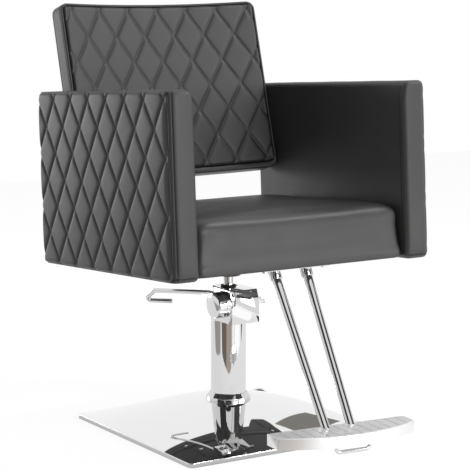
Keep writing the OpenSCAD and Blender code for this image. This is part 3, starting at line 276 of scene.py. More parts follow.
def leather(tone, sheen):
    """Grained upholstery leather, with painted shade darkening it down in its creases and seams, where it is
    also a little glossier.
    """
    def build(net):
        patches = net.noise(9.0, 4.0, 0.6)
        cells = net.node("ShaderNodeTexVoronoi", {"feature": "DISTANCE_TO_EDGE"},
                         {"Vector": net.place(), "Scale": 620.0})
        pores = net.noise(2600.0, 2.0)
        seam = net.node("ShaderNodeAttribute", {"attribute_name": "seam"}, output="Fac")
        worn = net.blend(patches, grey(tone * 0.82, 0.01), grey(tone * 1.18, 0.02))
        return {
            # painted shade: the colour falls towards a fifth of its tone down in the creases and seams
            "Base Color": net.blend(seam * 0.75, worn, grey(tone * 0.2)),
            "Roughness": patches * 0.12 + pores * 0.05 + (sheen - 0.08) - seam * 0.08,
            "Specular IOR Level": 0.36,
            "Normal": net.bump((cells * 3.0) ** 0.5 + pores * 0.35, 0.22, 0.0005)}
    return build


def metal(shade, rough, spread=0.02, grain=30.0, warm=0.0):
    """Smooth metal with faint wiping marks in its gloss, and painted shade halving its colour where a piece's
    shade mask is set.
    """
    def build(net):
        marks = net.noise(grain, 5.0, 0.65)
        seam = net.node("ShaderNodeAttribute", {"attribute_name": "seam"}, output="Fac")
        polish = net.blend(marks, grey(shade, warm), grey(shade * 0.96, warm))
        # painted shade: the colour halves where the piece's mask is set, as on the base's lip
        return {"Base Color": net.blend(seam, polish, grey(shade * 0.5)),
                "Metallic": 1.0,
                "Roughness": marks * spread + rough}
    return build


def brushed(shade, rough):
    """Alloy brushed along its length, with painted shade, nearly black, where a piece's shade mask is set."""
    def build(net):
        stretched = net.node("ShaderNodeMapping", {}, {"Vector": net.place(), "Scale": (12.0, 900.0, 300.0)})
        lines = net.node("ShaderNodeTexNoise", {}, {"Vector": stretched, "Scale": 1.0, "Detail": 3.0})
        seam = net.node("ShaderNodeAttribute", {"attribute_name": "seam"}, output="Fac")
        # painted shade: nearly black where the piece's mask is set, as in the footplate's grooves
        return {"Base Color": net.blend(seam, net.blend(lines, grey(shade), grey(shade * 0.9)), grey(0.1)),
                "Metallic": 1.0,
                "Roughness": lines * 0.16 + (rough - 0.08),
                "Normal": net.bump(lines, 0.12, 0.0003)}
    return build


def dull(shade, rough, grain, depth):
    """Paint, rubber, cloth and thread: a plain shade with a fine grain."""
    def build(net):
        spots = net.noise(grain, 3.0, 0.6)
        return {"Base Color": net.blend(spots, grey(shade * 0.8), grey(shade * 1.2)),
                "Roughness": spots * 0.1 + (rough - 0.05),
                "Normal": net.bump(spots, 0.3, depth)}
    return build


def plywood(net):
    """Birch veneers seen on the edges, long grain on the faces."""
    layers = net.node("ShaderNodeTexWave", {"bands_direction": "Z"},
                      {"Vector": net.place(), "Scale": 110.0, "Distortion": 1.5, "Detail": 2.0})
    return {"Base Color": net.blend(layers, (0.62, 0.43, 0.24, 1), (0.42, 0.27, 0.14, 1)),
            "Roughness": layers * 0.1 + 0.6}


black_leather = finish("black leather", leather(0.034, 0.44))
quilted_leather = finish("quilted black leather", leather(0.034, 0.44))
seat_leather = finish("smooth black leather", leather(0.036, 0.37))
bright_chrome = finish("bright chrome", metal(0.68, 0.025))
dome_chrome = finish("chromed dome", metal(0.84, 0.02, 0.02, 14.0))
plain_steel = finish("plain steel", metal(0.5, 0.3, 0.12, 60.0))
zinc_steel = finish("zinc plated steel", metal(0.62, 0.28, 0.12, 90.0, 0.02))
bronze = finish("sintered bronze", metal(0.45, 0.38, 0.1, 200.0, 0.25))
alloy = finish("brushed alloy", brushed(0.8, 0.4))
black_steel = finish("black painted steel", dull(0.022, 0.4, 260.0, 0.0002))
rubber = finish("black rubber", dull(0.018, 0.7, 400.0, 0.0002))
lining = finish("black lining cloth", dull(0.014, 0.9, 1500.0, 0.0004))
thread = finish("black thread", dull(0.11, 0.6, 3000.0, 0.0003))
birch = finish("birch plywood", plywood)

FINISH_OF_SLOT = {
    "rubber": rubber, "dark_steel": black_steel, "plain_steel": plain_steel, "fastener_steel": zinc_steel,
    "bright_chrome": bright_chrome, "bronze": bronze, "plywood": birch, "black_leather": black_leather,
    "underlay_cloth": lining, "brushed_alloy": alloy}
for subpart in frame["record"]["subparts"]:
    mesh = frame["nodes"][subpart["node"]].data
    mesh.materials.clear()
    mesh.materials.append(FINISH_OF_SLOT[subpart["material_slot"]])


# Meshes

def piece(name, verts, faces, material, body, slot, nodes=(), place=None, marks=None, weighted=False):
    """A smooth mesh that rides on a body and stands for the nodes."""
    mesh = bpy.data.meshes.new(name)
    mesh.from_pydata([tuple(v) for v in verts], [], faces)
    # marks are painted shade, kept as a point attribute that the finishes read
    if marks is not None:
        mesh.attributes.new("seam", "FLOAT", "POINT").data.foreach_set("value", np.asarray(marks, np.float32))
    if place is not None:
        mesh.transform(place)
        if place.determinant() < 0:
            mesh.flip_normals()
    mesh.materials.append(material)
    mesh.shade_smooth()
    made = bpy.data.objects.new(name, mesh)
    bpy.context.scene.collection.objects.link(made)
    if weighted:
        made.modifiers.new("weighted normals", "WEIGHTED_NORMAL")
    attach(made, body)
    if nodes:
        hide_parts(*nodes)
    return made


def joined(parts):
    """Several (verts, faces) as one."""
    verts, faces = [], []
    for more_verts, more_faces in parts:
        start = len(verts)
        verts.extend(more_verts)
        faces.extend([tuple(start + k for k in face) for face in more_faces])
    return verts, faces


def loft(rings, caps=(True, True)):
    """Skin over closed rings of equal length."""
    n = len(rings[0])
    verts = [v for ring in rings for v in ring]
    faces = []
    for k in range(len(rings) - 1):
        for i in range(n):
            j = (i + 1) % n
            faces.append((k * n + i, k * n + j, (k + 1) * n + j, (k + 1) * n + i))
    if caps[0]:
        faces.append(tuple(range(n - 1, -1, -1)))
    if caps[1]:
        faces.append(tuple(range((len(rings) - 1) * n, len(rings) * n)))
    return verts, faces


def eased(points, radius, steps=3):
    """A line of 2-D points with the corners between its ends rounded."""
    out = [tuple(points[0])]
    for k in range(1, len(points) - 1):
        here = Vector(points[k])
        before = Vector(points[k - 1]) - here
        after = Vector(points[k + 1]) - here
        cut = min(radius, before.length * 0.45, after.length * 0.45)
        start, end = here + before.normalized() * cut, here + after.normalized() * cut
        for s in range(steps + 1):
            t = s / steps
            out.append(tuple(start.lerp(here, t).lerp(here.lerp(end, t), t)))
    return out + [tuple(points[-1])]


def turned(profile, sides=96, centre=(0, 0, 0), axis="Z", tube=False):
    """A profile of (radius, height) turned about an axis through a centre.

    A tube's profile closes on itself, and any other is capped at both ends."""
    rings = []
    for r, h in profile:
        ring = []
        for k in range(sides):
            a = 2 * math.pi * k / sides
            p = (r * math.cos(a), r * math.sin(a), h)
            if axis == "X":
                p = (p[2], p[0], p[1])
            ring.append((p[0] + centre[0], p[1] + centre[1], p[2] + centre[2]))
        rings.append(ring)
    if not tube:
        return loft(rings)
    verts, faces = loft(rings, caps=(False, False))
    last = (len(rings) - 1) * sides
    return verts, faces + [(last + k, last + (k + 1) % sides, (k + 1) % sides, k) for k in range(sides)]


def bent(corners, bend, steps=10):
    """Points along a line through corners, with its bends rounded."""
    corners = [Vector(c) for c in corners]
    points = [corners[0]]
    for a, b, c in zip(corners, corners[1:], corners[2:]):
        u, v = (a - b).normalized(), (c - b).normalized()
        angle = u.angle(v) / 2
        reach = min(bend / math.tan(angle), (a - b).length * 0.45, (c - b).length * 0.45)
        r = reach * math.tan(angle)
        centre = b + (u + v).normalized() * (r / math.sin(angle))
        start, end = b + u * reach - centre, b + v * reach - centre
        turn = start.rotation_difference(end)
        for s in range(steps + 1):
            points.append(centre + Matrix.Rotation(turn.angle * s / steps, 3, turn.axis) @ start)
    points.append(corners[-1])
    return points


def swept(points, radius, sides=24, ease=0.0012):
    """A round bar along points, its ends eased."""
    points = [Vector(p) for p in points]
    ways = [(b - a).normalized() for a, b in zip(points, points[1:])]
    tangents = [ways[0]] + [(a + b).normalized() for a, b in zip(ways, ways[1:])] + [ways[-1]]
    side = tangents[0].orthogonal().normalized()
    rings = []
    first, last = points[0], points[-1]
    stations = [(first, tangents[0], radius - ease), (first + ways[0] * ease, tangents[0], radius)]
    stations += [(p, t, radius) for p, t in zip(points[1:-1], tangents[1:-1])]
    stations += [(last - ways[-1] * ease, tangents[-1], radius), (last, tangents[-1], radius - ease)]
    for p, t, r in stations:
        side = (side - t * side.dot(t)).normalized()
        up = t.cross(side)
        rings.append([tuple(p + (side * math.cos(a) + up * math.sin(a)) * r)
                      for a in (2 * math.pi * k / sides for k in range(sides))])
    return loft(rings)


sharp_from = math.radians(28)
flat_within = math.radians(1.0)
weld_gap = 0.01 * MM


def eased_copy(name, material, body, width):
    """The CAD node's own mesh with its sharp edges broken."""
    title = f"eased_{name}"
    mesh = frame["nodes"][name].data.copy()
    mesh.name = title
    bm = bmesh.new()
    bm.from_mesh(mesh)
    bmesh.ops.remove_doubles(bm, verts=bm.verts, dist=weld_gap)
    bmesh.ops.dissolve_limit(bm, angle_limit=flat_within, verts=bm.verts, edges=bm.edges)
    bm.to_mesh(mesh)
    bm.free()
    mesh.materials.clear()
    mesh.materials.append(material)
    mesh.shade_smooth()
    made = bpy.data.objects.new(title, mesh)
    bpy.context.scene.collection.objects.link(made)
    bevel = made.modifiers.new("broken edges", "BEVEL")
    bevel.width = width
    bevel.segments = 2
    bevel.limit_method = "ANGLE"
    bevel.angle_limit = sharp_from
    bevel.harden_normals = True
    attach(made, body)
    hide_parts(name)


def chromed(name, shape, body, node, place=None):
    """A piece of bright chrome that stands for a node."""
    piece(name, *shape, bright_chrome, body, "bright_chrome", [node], place, weighted=True)


def padded_leather(name, shape, material, node, place):
    """A leather piece of the seat unit over its foam; shape is verts, faces and painted shade for its creases
    and seams.
    """
    verts, faces, marks = shape
    made = piece(name, verts, faces, material, "seat_unit", "black_leather", [node], place, marks)


def grid_rim(m, n):
    """Indices round the edge of a grid of n rows of m points."""
    return (list(range(m - 1)) + [j * m + m - 1 for j in range(n - 1)]
            + [(n - 1) * m + i for i in range(m - 1, 0, -1)] + [j * m for j in range(n - 1, 0, -1)])


# Quilted pads

QUILT_STEPS = 28
crease_reach = 3.3 * MM
# how far the painted shade reaches from a crease, and from the seam along a pad's low x side
crease_mark = 1.8 * MM
seam_mark = 1.5 * MM
pucker_wave = 8.7 * MM
pucker_h = 0.28 * MM
pucker_reach = 6 * MM
pucker_gap = 1.5 * MM
stitch_margin = 6 * MM
stitch_depth = 0.25 * MM
stitch_pitch = 5.6 * MM
crease_stitch = (3.8 * MM, 0.42 * MM)
band_stitch = (3.4 * MM, 0.65 * MM)
seam_turn = math.radians(44)
seam_at = arm_front_r * (1 - math.sin(seam_turn))


def pad_lines(low, high, first, pitch):
    """Grid lines across a pad: on the quilting's lattice inside, closer at the edges."""
    step = pitch / QUILT_STEPS
    rim = [pad_edge_r * s for s in (0, 0.03, 0.1, 0.22, 0.38, 0.58, 0.8)]
    i0 = math.ceil((low + pad_edge_r - first) / step)
    i1 = math.floor((high - pad_edge_r - first) / step)
    return np.array([low + r for r in rim] + [first + i * step for i in range(i0, i1 + 1)]
                    + [high - r for r in reversed(rim)])


def round_corners(x, z, hx, hz, r):
    """A grid's points with the four corners of its outline drawn in to a radius."""
    u, v = np.abs(x) - hx + r, np.abs(z) - hz + r
    k = np.maximum(u, v) / np.maximum(np.hypot(u, v), 1e-9)
    inside = np.minimum(u, v) <= 0
    return (np.where(inside, x, np.sign(x) * (hx - r + u * k)),
            np.where(inside, z, np.sign(z) * (hz - r + v * k)))


def creases(a, b, pitch):
    """Distances to both families of creases and places along them, in metres."""
    long = math.hypot(*pitch)
    gap = pitch[0] * pitch[1] / long
    near = [np.abs((c + 0.5) % 1 - 0.5) * gap for c in (a + b, a - b)]
    along = [c / 2 * long for c in (a - b, a + b)]
    return near, along


def soft(distance, reach):
    """A quarter circle's rise, from 0 at an edge to 1 at its reach."""
    e = np.clip(distance / reach, 0, 1)
    return np.sqrt(1 - (1 - e) ** 2)


def wrapped(distance, thickness):
    """Share of a pad's thickness left where it follows the arm's rounded front edge to the sewn join on it.
    """
    turn = np.clip(1 - (seam_at + distance) / arm_front_r, 0, 1)
    return 1 - arm_front_r * (1 - np.sqrt(1 - turn ** 2)) / thickness


def quilted_surface(w, h, first_x, first_z, pitch, edge_t, bow_r):
    """Verts, faces and painted crease shade of a quilted pad; x across, z up, its face towards -y.

    A flat pad's low x side runs round the arm's front edge, and a bowed pad's is like its other sides."""
    xs, zs = pad_lines(-w / 2, w / 2, first_x, pitch[0]), pad_lines(0, h, first_z, pitch[1])
    x, z = np.meshgrid(xs, zs)
    x, zc = round_corners(x, z - h / 2, w / 2, h / 2, pad_corner_r)
    z = zc + h / 2
    a, b = (x - first_x) / pitch[0], (z - first_z) / pitch[1]
    near, along = creases(a, b, pitch)
    rise = (1 - np.exp(-near[0] / crease_reach)) * (1 - np.exp(-near[1] / crease_reach))
    swell = np.sqrt(np.abs(np.sin(np.pi * (a + b)) * np.sin(np.pi * (a - b))))
    pucker = sum(np.sin(along[k] / pucker_wave * 2 * np.pi + 5 * np.sin(along[k] * 31) + k)
                 * np.exp(-near[k] / pucker_reach) * (1 - np.exp(-near[k] / pucker_gap)) for k in (0, 1))
    edge = np.minimum(w / 2 - x, h / 2 - np.abs(z - h / 2))
    first_side = soft(x + w / 2, pad_edge_r) if bow_r else wrapped(x + w / 2, edge_t + quilt_puff)
    e = np.minimum(soft(edge, pad_edge_r), first_side)
    # painted shade: strongest down in the creases and along the pad's low x side
    mark = np.maximum(np.exp(-np.minimum(*near) / crease_mark), np.exp(-(x + w / 2) / seam_mark))
    out = edge_t * (1 + e) / 2 + e * (quilt_puff * rise * (0.8 + 0.2 * swell) + pucker_h * pucker)
    y0 = np.sqrt(bow_r ** 2 - x ** 2) - bow_r if bow_r else np.zeros_like(x)
    front = np.stack([x, y0 - out, z], -1).reshape(-1, 3)
    m, n = len(xs), len(zs)
    back = np.stack([x, y0, z], -1).reshape(-1, 3)
    faces = []
    start = len(front)
    mid_a, mid_b = (a[1:, 1:] + a[:-1, :-1]) / 2, (b[1:, 1:] + b[:-1, :-1]) / 2
    cell, _ = creases(mid_a, mid_b, pitch)
    falls = cell[0] < cell[1]
    for j in range(n - 1):
        for i in range(m - 1):
            p = j * m + i
            if falls[j, i]:
                faces += [(p, p + 1, p + m), (p + 1, p + m + 1, p + m)]
            else:
                faces += [(p, p + 1, p + m + 1), (p, p + m + 1, p + m)]
            q = start + p
            faces.append((q, q + m, q + m + 1, q + 1))
    rim = grid_rim(m, n)
    for here, then in zip(rim, rim[1:] + rim[:1]):
        faces.append((then, here, start + here, start + then))
    return np.concatenate([front, back]), faces, np.concatenate([mark.reshape(-1), np.zeros(start)])


def bead(length, radius, sides=6):
    """One stitch of thread, along x."""
    rings = [[(length * t, radius * r * math.cos(a), radius * r * math.sin(a))
              for a in (2 * math.pi * k / sides for k in range(sides))]
             for t, r in ((-0.5, 0.35), (-0.36, 0.95), (0, 1.1), (0.36, 0.95), (0.5, 0.35))]
    return loft(rings)


def stitches(spots, length, radius):
    """Beads of thread at (middle, direction) pairs."""
    verts, faces = bead(length, radius)
    verts = np.array(verts)
    all_verts, all_faces = [], []
    for middle, way in spots:
        way = Vector(way).normalized()
        side = way.cross(Vector((0, 1, 0)))
        side = side.normalized() if side.length > 1e-6 else Vector((1, 0, 0))
        up = side.cross(way)
        turn = np.array([way, side, up])
        start = len(all_verts) * len(verts)
        all_verts.append(verts @ turn + np.array(middle))
        all_faces += [tuple(start + k for k in face) for face in faces]
    return np.concatenate(all_verts), all_faces


def sewn(name, spots, stitch, place):
    """Rows of stitches on the seat unit; stitch is a length and a radius."""
    piece(name, *stitches(spots, *stitch), thread, "seat_unit", "black_leather", (), place)


def crease_spots(w, h, first_x, first_z, pitch, edge_t, bow_r):
    """Places of the stitches down in the creases."""
    spots = []
    long = math.hypot(*pitch)
    low = -w / 2 + (stitch_margin if bow_r else arm_front_r - seam_at)
    for slope in (1, -1):
        reach = int((w / pitch[0] + h / pitch[1]) + 3)
        for line in range(-reach, reach + 1):
            for k in range(int(2 * reach * long / stitch_pitch)):
                t = (k * stitch_pitch / long) - reach
                a, b = t, (line - t) * slope
                x, z = first_x + a * pitch[0], first_z + b * pitch[1]
                if not (low < x < w / 2 - stitch_margin and stitch_margin < z < h - stitch_margin):
                    continue
                y = (math.sqrt(bow_r ** 2 - x ** 2) - bow_r) if bow_r else 0.0
                spots.append(((x, y - edge_t - stitch_depth, z), (pitch[0], 0, -slope * pitch[1])))
    return spots


quilt_len = arm_len - seam_at - panel_margin_y
quilt_mid_y = arm_rear - panel_margin_y - quilt_len / 2
first_crease = panel_margin_y + panel_quilt_y - arm_front - quilt_mid_y
for side, sign in (("right", -1), ("left", 1)):
    # local x runs to the rear, the face looks outwards
    turn = Matrix(((0, -sign, 0, sign * panel_face_x), (1, 0, 0, quilt_mid_y),
                   (0, 0, 1, arm_z + panel_margin_z), (0, 0, 0, 1)))
    shape = (quilt_len, panel_h, first_crease, panel_quilt_z, arm_pitch, panel_edge_t, 0)
    padded_leather(f"quilted_arm_pad_{side}", quilted_surface(*shape), quilted_leather, f"arm_panel_{side}",
                   LEAN @ turn)
    sewn(f"arm_pad_stitches_{side}", crease_spots(*shape), crease_stitch, LEAN @ turn)

shape = (pad_w, pad_h, 0, back_quilt_z, back_pitch, back_pad_t, back_r + back_pad_t)
place = BACK @ Matrix.Translation((0, back_curve + back_pad_t, 0))
padded_leather("quilted_backrest_pad", quilted_surface(*shape), quilted_leather, "back_cushion", place)
sewn("backrest_pad_stitches", crease_spots(*shape), crease_stitch, place)


# Backrest cover

def outline(w, z0, z1, r, side_steps=40, corner_steps=10):
    """Points (x, z) round an upright rectangle with round corners."""
    hx, hz, mid = w / 2, (z1 - z0) / 2, (z0 + z1) / 2
    points = []
    for k, (sx, sz) in enumerate(((1, 1), (-1, 1), (-1, -1), (1, -1))):
        for s in range(corner_steps + 1):
            a = math.pi / 2 * (k + s / corner_steps)
            points.append((sx * (hx - r) + r * math.cos(a), mid + sz * (hz - r) + r * math.sin(a)))
        nx, nz = ((-1, 1), (-1, -1), (1, -1), (1, 1))[k]
        a = math.pi / 2 * (k + 1)
        goal = (nx * (hx - r) + r * math.cos(a), mid + nz * (hz - r) + r * math.sin(a))
        x, z = points[-1]
        points += [(x + (goal[0] - x) * s / side_steps, z + (goal[1] - z) * s / side_steps)
                   for s in range(1, side_steps)]
    return points


def bowed(points, depth):
    """Points (x, z) laid on the backrest's curve, at a depth behind its front."""
    mid = back_curve - back_r
    return [(x, mid + math.sqrt((back_r + depth) ** 2 - x * x), z) for x, z in points]


def back_shell():
    """The boxing and rear of the backrest's cover, with its seams, and the rim round the quilted pad."""
    rings = []
    marks = []

    def ring(inset, depth, mark, low=None):
        z0 = -back_skirt + inset if low is None else low
        rings.append(bowed(outline(back_w - 2 * inset, z0, back_h - inset,
                                   max(back_corner_r - inset, back_least_r)), depth))
        marks.append(mark)

    rim = back_cover_t
    # millimetres out from the rim, behind the front and below the pad, and the share of painted shade in the
    # crease round the pad
    for out, depth, drop, mark in ((0, 13, 0, 1), (0, 4, 0, 1), (0.3, 2.4, 0.5, 0.6), (1.1, 1.5, 1.5, 0.1)):
        ring(rim - out * MM, depth * MM, mark, -pad_gap - drop * MM)
    # millimetres in from the outside and behind the front, and the share of painted shade down in the seams
    for inset, depth, mark in ((3.2, 1.2, 0), (2.0, 1.6, 0), (0.9, 2.6, 0), (0.2, 4.2, 0), (0, 6, 0),
                               (0.2, 7.4, 0.3), (0.9, 8.2, 1), (0.2, 9.0, 0.3), (0, 10.5, 0), (0, 18, 0),
                               (0, 26, 0), (0, 34, 0), (0, 40, 0), (0.2, 41, 0.3), (0.9, 41.8, 1),
                               (0.2, 42.6, 0.3), (0, 44, 0), (0.4, 46, 0), (1.4, 48, 0), (3, 49.3, 0),
                               (5, 49.9, 0), (6.6, 50, 0), (7.6, 49.6, 0.3), (8.2, 48.9, 1), (8.9, 49.5, 0.3),
                               (10.5, 50, 0), (14, 50.4, 0), (22, 51, 0), (34, 51.4, 0), (60, 51.8, 0)):
        ring(inset * MM, depth * MM, mark)
    # the rear panel's grid closes the last ring
    verts, faces = loft(rings, caps=(False, False))
    n = len(rings[0])
    flat_marks = [m for m in marks for _ in range(n)]
    last = rings[-1]
    centre_z = (min(p[2] for p in last) + max(p[2] for p in last)) / 2
    count = len(rings)
    for share in (0.8, 0.6, 0.4, 0.2, 0.06):
        ring_points = [(p[0] * share, centre_z + (p[2] - centre_z) * share) for p in last]
        verts += bowed(ring_points, back_rear)
        flat_marks += [0.0] * n
        base = (count - 1) * n
        faces += [(base + i, base + (i + 1) % n, base + n + (i + 1) % n, base + n + i) for i in range(n)]
        count += 1
    faces.append(tuple(range((count - 1) * n, count * n)))
    return verts, faces, flat_marks


padded_leather("backrest_boxing", back_shell(), black_leather, "back_cover", BACK)


# Arm covers

grid_step = 14 * MM
fine_step = 3 * MM


def box_lines(low, high, r, seams=(), fine=None):
    """Grid lines across a rounded box.

    They lie closer over the rounded edges, in the fine stretch and at the seams."""
    lines = [low + r * (1 - math.tan(math.radians(t))) for t in (45, 36, 27, 18, 9, 0)]
    lines += [high - r * (1 - math.tan(math.radians(t))) for t in (45, 36, 27, 18, 9, 0)]
    if fine:
        cuts = math.ceil((fine[1] - fine[0]) / fine_step)
        lines += [fine[0] + (fine[1] - fine[0]) * k / cuts for k in range(cuts + 1)]
    for at in seams:
        lines += [at + s * MM for s in (-3, -1.6, -0.8, 0, 0.8, 1.6, 3)]
    inner = sorted(set(round(v, 6) for v in lines))
    out = []
    for a, b in zip(inner, inner[1:]):
        cuts = max(1, round((b - a) / grid_step))
        out += [a + (b - a) * k / cuts for k in range(cuts)]
    return out + [inner[-1]]


def rounded_box(xs, ys, zs, r):
    """The skin of a box whose edges are rounded, from its grid lines."""
    sizes = (len(xs), len(ys), len(zs))
    index = {}
    verts = []
    low = np.array([xs[0], ys[0], zs[0]]) + r
    high = np.array([xs[-1], ys[-1], zs[-1]]) - r

    def vert(i, j, k):
        if (i, j, k) not in index:
            p = np.array([xs[i], ys[j], zs[k]])
            c = np.clip(p, low, high)
            d = p - c
            size = np.linalg.norm(d)
            index[(i, j, k)] = len(verts)
            verts.append(c + d / size * r if size > 1e-9 else p)
        return index[(i, j, k)]

    faces = []
    for axis in range(3):
        u, v = (axis + 1) % 3, (axis + 2) % 3
        for end in (0, sizes[axis] - 1):
            for i in range(sizes[u] - 1):
                for j in range(sizes[v] - 1):
                    corner = []
                    for di, dj in ((0, 0), (1, 0), (1, 1), (0, 1)):
                        at = [0, 0, 0]
                        at[axis], at[u], at[v] = end, i + di, j + dj
                        corner.append(vert(*at))
                    faces.append(tuple(corner if end else reversed(corner)))
    return np.array(verts), faces


band_t = panel_edge_t + quilt_puff
topstitch_turns = (math.radians(35), math.radians(61))
fold_h = 8 * MM
fold_dent = 2.5 * MM
fold_from = 3 * MM
inner_seam_back = 15 * MM
top_seam_in = 5 * MM
skin_t = 0.1 * MM
front_skin_t = 4 * MM
panel_step_lead = 1 * MM
panel_step_w = 3 * MM
panel_mark_w = 6 * MM
seam_reach = 1.1 * MM
seam_dent = 1.1 * MM
row_reach = 1.6 * MM
row_dent = 1.0 * MM
band_first = 14 * MM
band_spare = 26 * MM
band_pitch = 4.6 * MM
band_sink = -0.6 * MM
front_hollow = 2.4 * MM
front_hollow_h = 20 * MM
brow_depth = 110 * MM
panel_sink = 0.4 * MM
rear_bulge = 0.8 * MM
inner_ripple = 0.35 * MM
top_ripple = 0.3 * MM


def rounder(u, v, r, full_r):
    """Scale that turns a corner of radius r into one of radius full_r, from the rounder one's middle."""
    c, s = np.cos(np.arctan2(v, u)), np.sin(np.arctan2(v, u))
    a = full_r - r
    flat = full_r / np.maximum(np.maximum(c, s), 0.1)
    arc = a * (c + s) + np.sqrt(np.maximum((a * (c + s)) ** 2 - 2 * a * a + r * r, 0))
    reach = np.where(np.minimum(c, s) * flat <= a, flat, arc)
    return np.where((u > 0) & (v > 0), full_r / reach, 1)


def front_edge(turn, lift):
    """A point (x, y) on or over the left arm's rounded front edge, turned from side to front."""
    r = arm_front_r + lift
    return (panel_face_x + band_t - arm_front_r + r * math.cos(turn),
            -arm_front + arm_front_r - r * math.sin(turn))


def arm_shell():
    """An arm's cover for the left side, before the lean."""
    x0, x1 = gap_half, panel_face_x + band_t
    y0, y1 = -arm_front, arm_rear
    z0, z1 = arm_z, arm_z + arm_h
    inner_seam = y0 + inner_seam_back
    top_seam = panel_face_x - top_seam_in
    fold = z0 + fold_h
    verts, faces = rounded_box(box_lines(x0, x1, arm_soft_r, [top_seam], fine=(x1 - arm_front_r, x1)),
                               box_lines(y0, y1, arm_soft_r, [inner_seam], fine=(y0, y0 + arm_front_r)),
                               box_lines(z0, z1, arm_soft_r, [fold], fine=(z1 - arm_brow[1], z1)), arm_soft_r)
    x, y, z = verts.T
    on_inner, on_outer = x < x0 + skin_t, x > panel_face_x
    on_top, on_rear = z > z1 - skin_t, y > y1 - skin_t
    on_front = y < y0 + front_skin_t

    def groove(at, line, reach=seam_reach):
        return np.exp(-((at - line) / reach) ** 2)

    u, v = x - (x1 - arm_front_r), (y0 + arm_front_r) - y
    k = rounder(u, v, arm_soft_r, arm_front_r)
    turn = np.arctan2(np.maximum(v, 0), np.maximum(u, 1e-6))
    bend = (u > 0) & (v > 0)
    out = verts.copy()
    out[:, 0] = np.where(bend, x1 - arm_front_r + u * k, x)
    out[:, 1] = np.where(bend, y0 + arm_front_r - v * k, y)
    # marks are painted shade: down in the inner and top seams, the topstitch rows, the step under the pad and
    # the fold
    marks = np.where(on_inner, groove(y, inner_seam), 0) + np.where(on_top, groove(x, top_seam), 0)
    for row in topstitch_turns:
        line = groove(turn * arm_front_r, row * arm_front_r, row_reach) * np.where(bend & ~on_top, 1, 0)
        dent = row_dent * line
        out[:, 0] -= dent * np.cos(turn)
        out[:, 1] += dent * np.sin(turn)
        marks += line
    out[:, 0] += np.where(on_inner, groove(y, inner_seam) * seam_dent, 0)
    out[:, 2] -= np.where(on_top, groove(x, top_seam) * seam_dent, 0)
    # behind the seam on the front edge the cover lies lower, under the quilted pad
    seam_y = y0 + seam_at
    drop = np.clip((out[:, 1] - seam_y + panel_step_lead) / panel_step_w, 0, 1) ** 2
    share = np.clip((out[:, 0] - panel_face_x) / band_t, 0, 1)
    out[:, 0] -= drop * share * (band_t + panel_sink)
    # painted shade in the step under the pad's edge
    marks += drop * np.where(on_outer & (out[:, 1] < seam_y + panel_mark_w), 1, 0)
    across = groove(z, fold, row_reach) * np.where(on_front & (x > x0 + fold_from), 1, 0)
    crown = 1 - ((x - (x0 + x1) / 2) / ((x1 - x0) / 2)) ** 2
    hollow = front_hollow * crown * np.clip((z - fold) / front_hollow_h, 0, 1)
    out[:, 1] += np.where(on_front, across * fold_dent - hollow, 0)
    marks += across
    # the front's inner top corner falls away in a long soft curve
    rise = np.clip((z - z1 + arm_brow[1]) / arm_brow[1], 0, 1)
    inwards = np.clip(((x0 + x1) / 2 - x) / ((x1 - x0) / 2), 0, 1)
    out[:, 0] += (arm_brow[0] * (1 - np.sqrt(1 - rise ** 2 * 0.98)) * inwards
                  * np.exp(-((y - y0) / brow_depth) ** 2))
    ripple = np.sin(z * 61 + 1.3 * np.sin(y * 37)) * np.sin(y * 23 + 2 * np.sin(z * 17))
    out[:, 1] += np.where(on_rear, rear_bulge * np.sin(np.pi * (z - z0) / arm_h), 0)
    out[:, 0] += np.where(on_inner, inner_ripple * ripple, 0)
    out[:, 2] += np.where(on_top, top_ripple * np.sin(y * 41 + 1.0), 0)
    return out, faces, np.minimum(marks, 1)


for side, sign in (("right", -1), ("left", 1)):
    place = LEAN @ Matrix.Diagonal((sign, 1, 1, 1))
    padded_leather(f"stitched_arm_cover_{side}", arm_shell(), black_leather, f"arm_cover_{side}", place)
    spots = [((*front_edge(turn, band_sink), arm_z + band_first + k * band_pitch), (0, 0, 1))
             for turn in topstitch_turns for k in range(int((arm_h - band_spare) / band_pitch))]
    sewn(f"arm_band_stitches_{side}", spots, band_stitch, place)


# Seat cushion

CLOTH_FRAMES = 20
cloth_voxel = 6 * MM
cloth_pressure = 4.0
cloth_stretch = 60
cloth_shear = 30
cloth_bend = 12
cloth_reach = 5 * MM
cloth_fade_h = 60 * MM
cloth_smoothings = 6
seat_slim = 1 * MM
foot_band = 20 * MM
foot_spread = 2 * MM
foot_drop = 1.2 * MM
seat_bulge = 1.6 * MM
seat_foot_h = 8 * MM
# the corners grow rounder from this height in millimetres, over that many
corner_from, corner_over = 36, 40


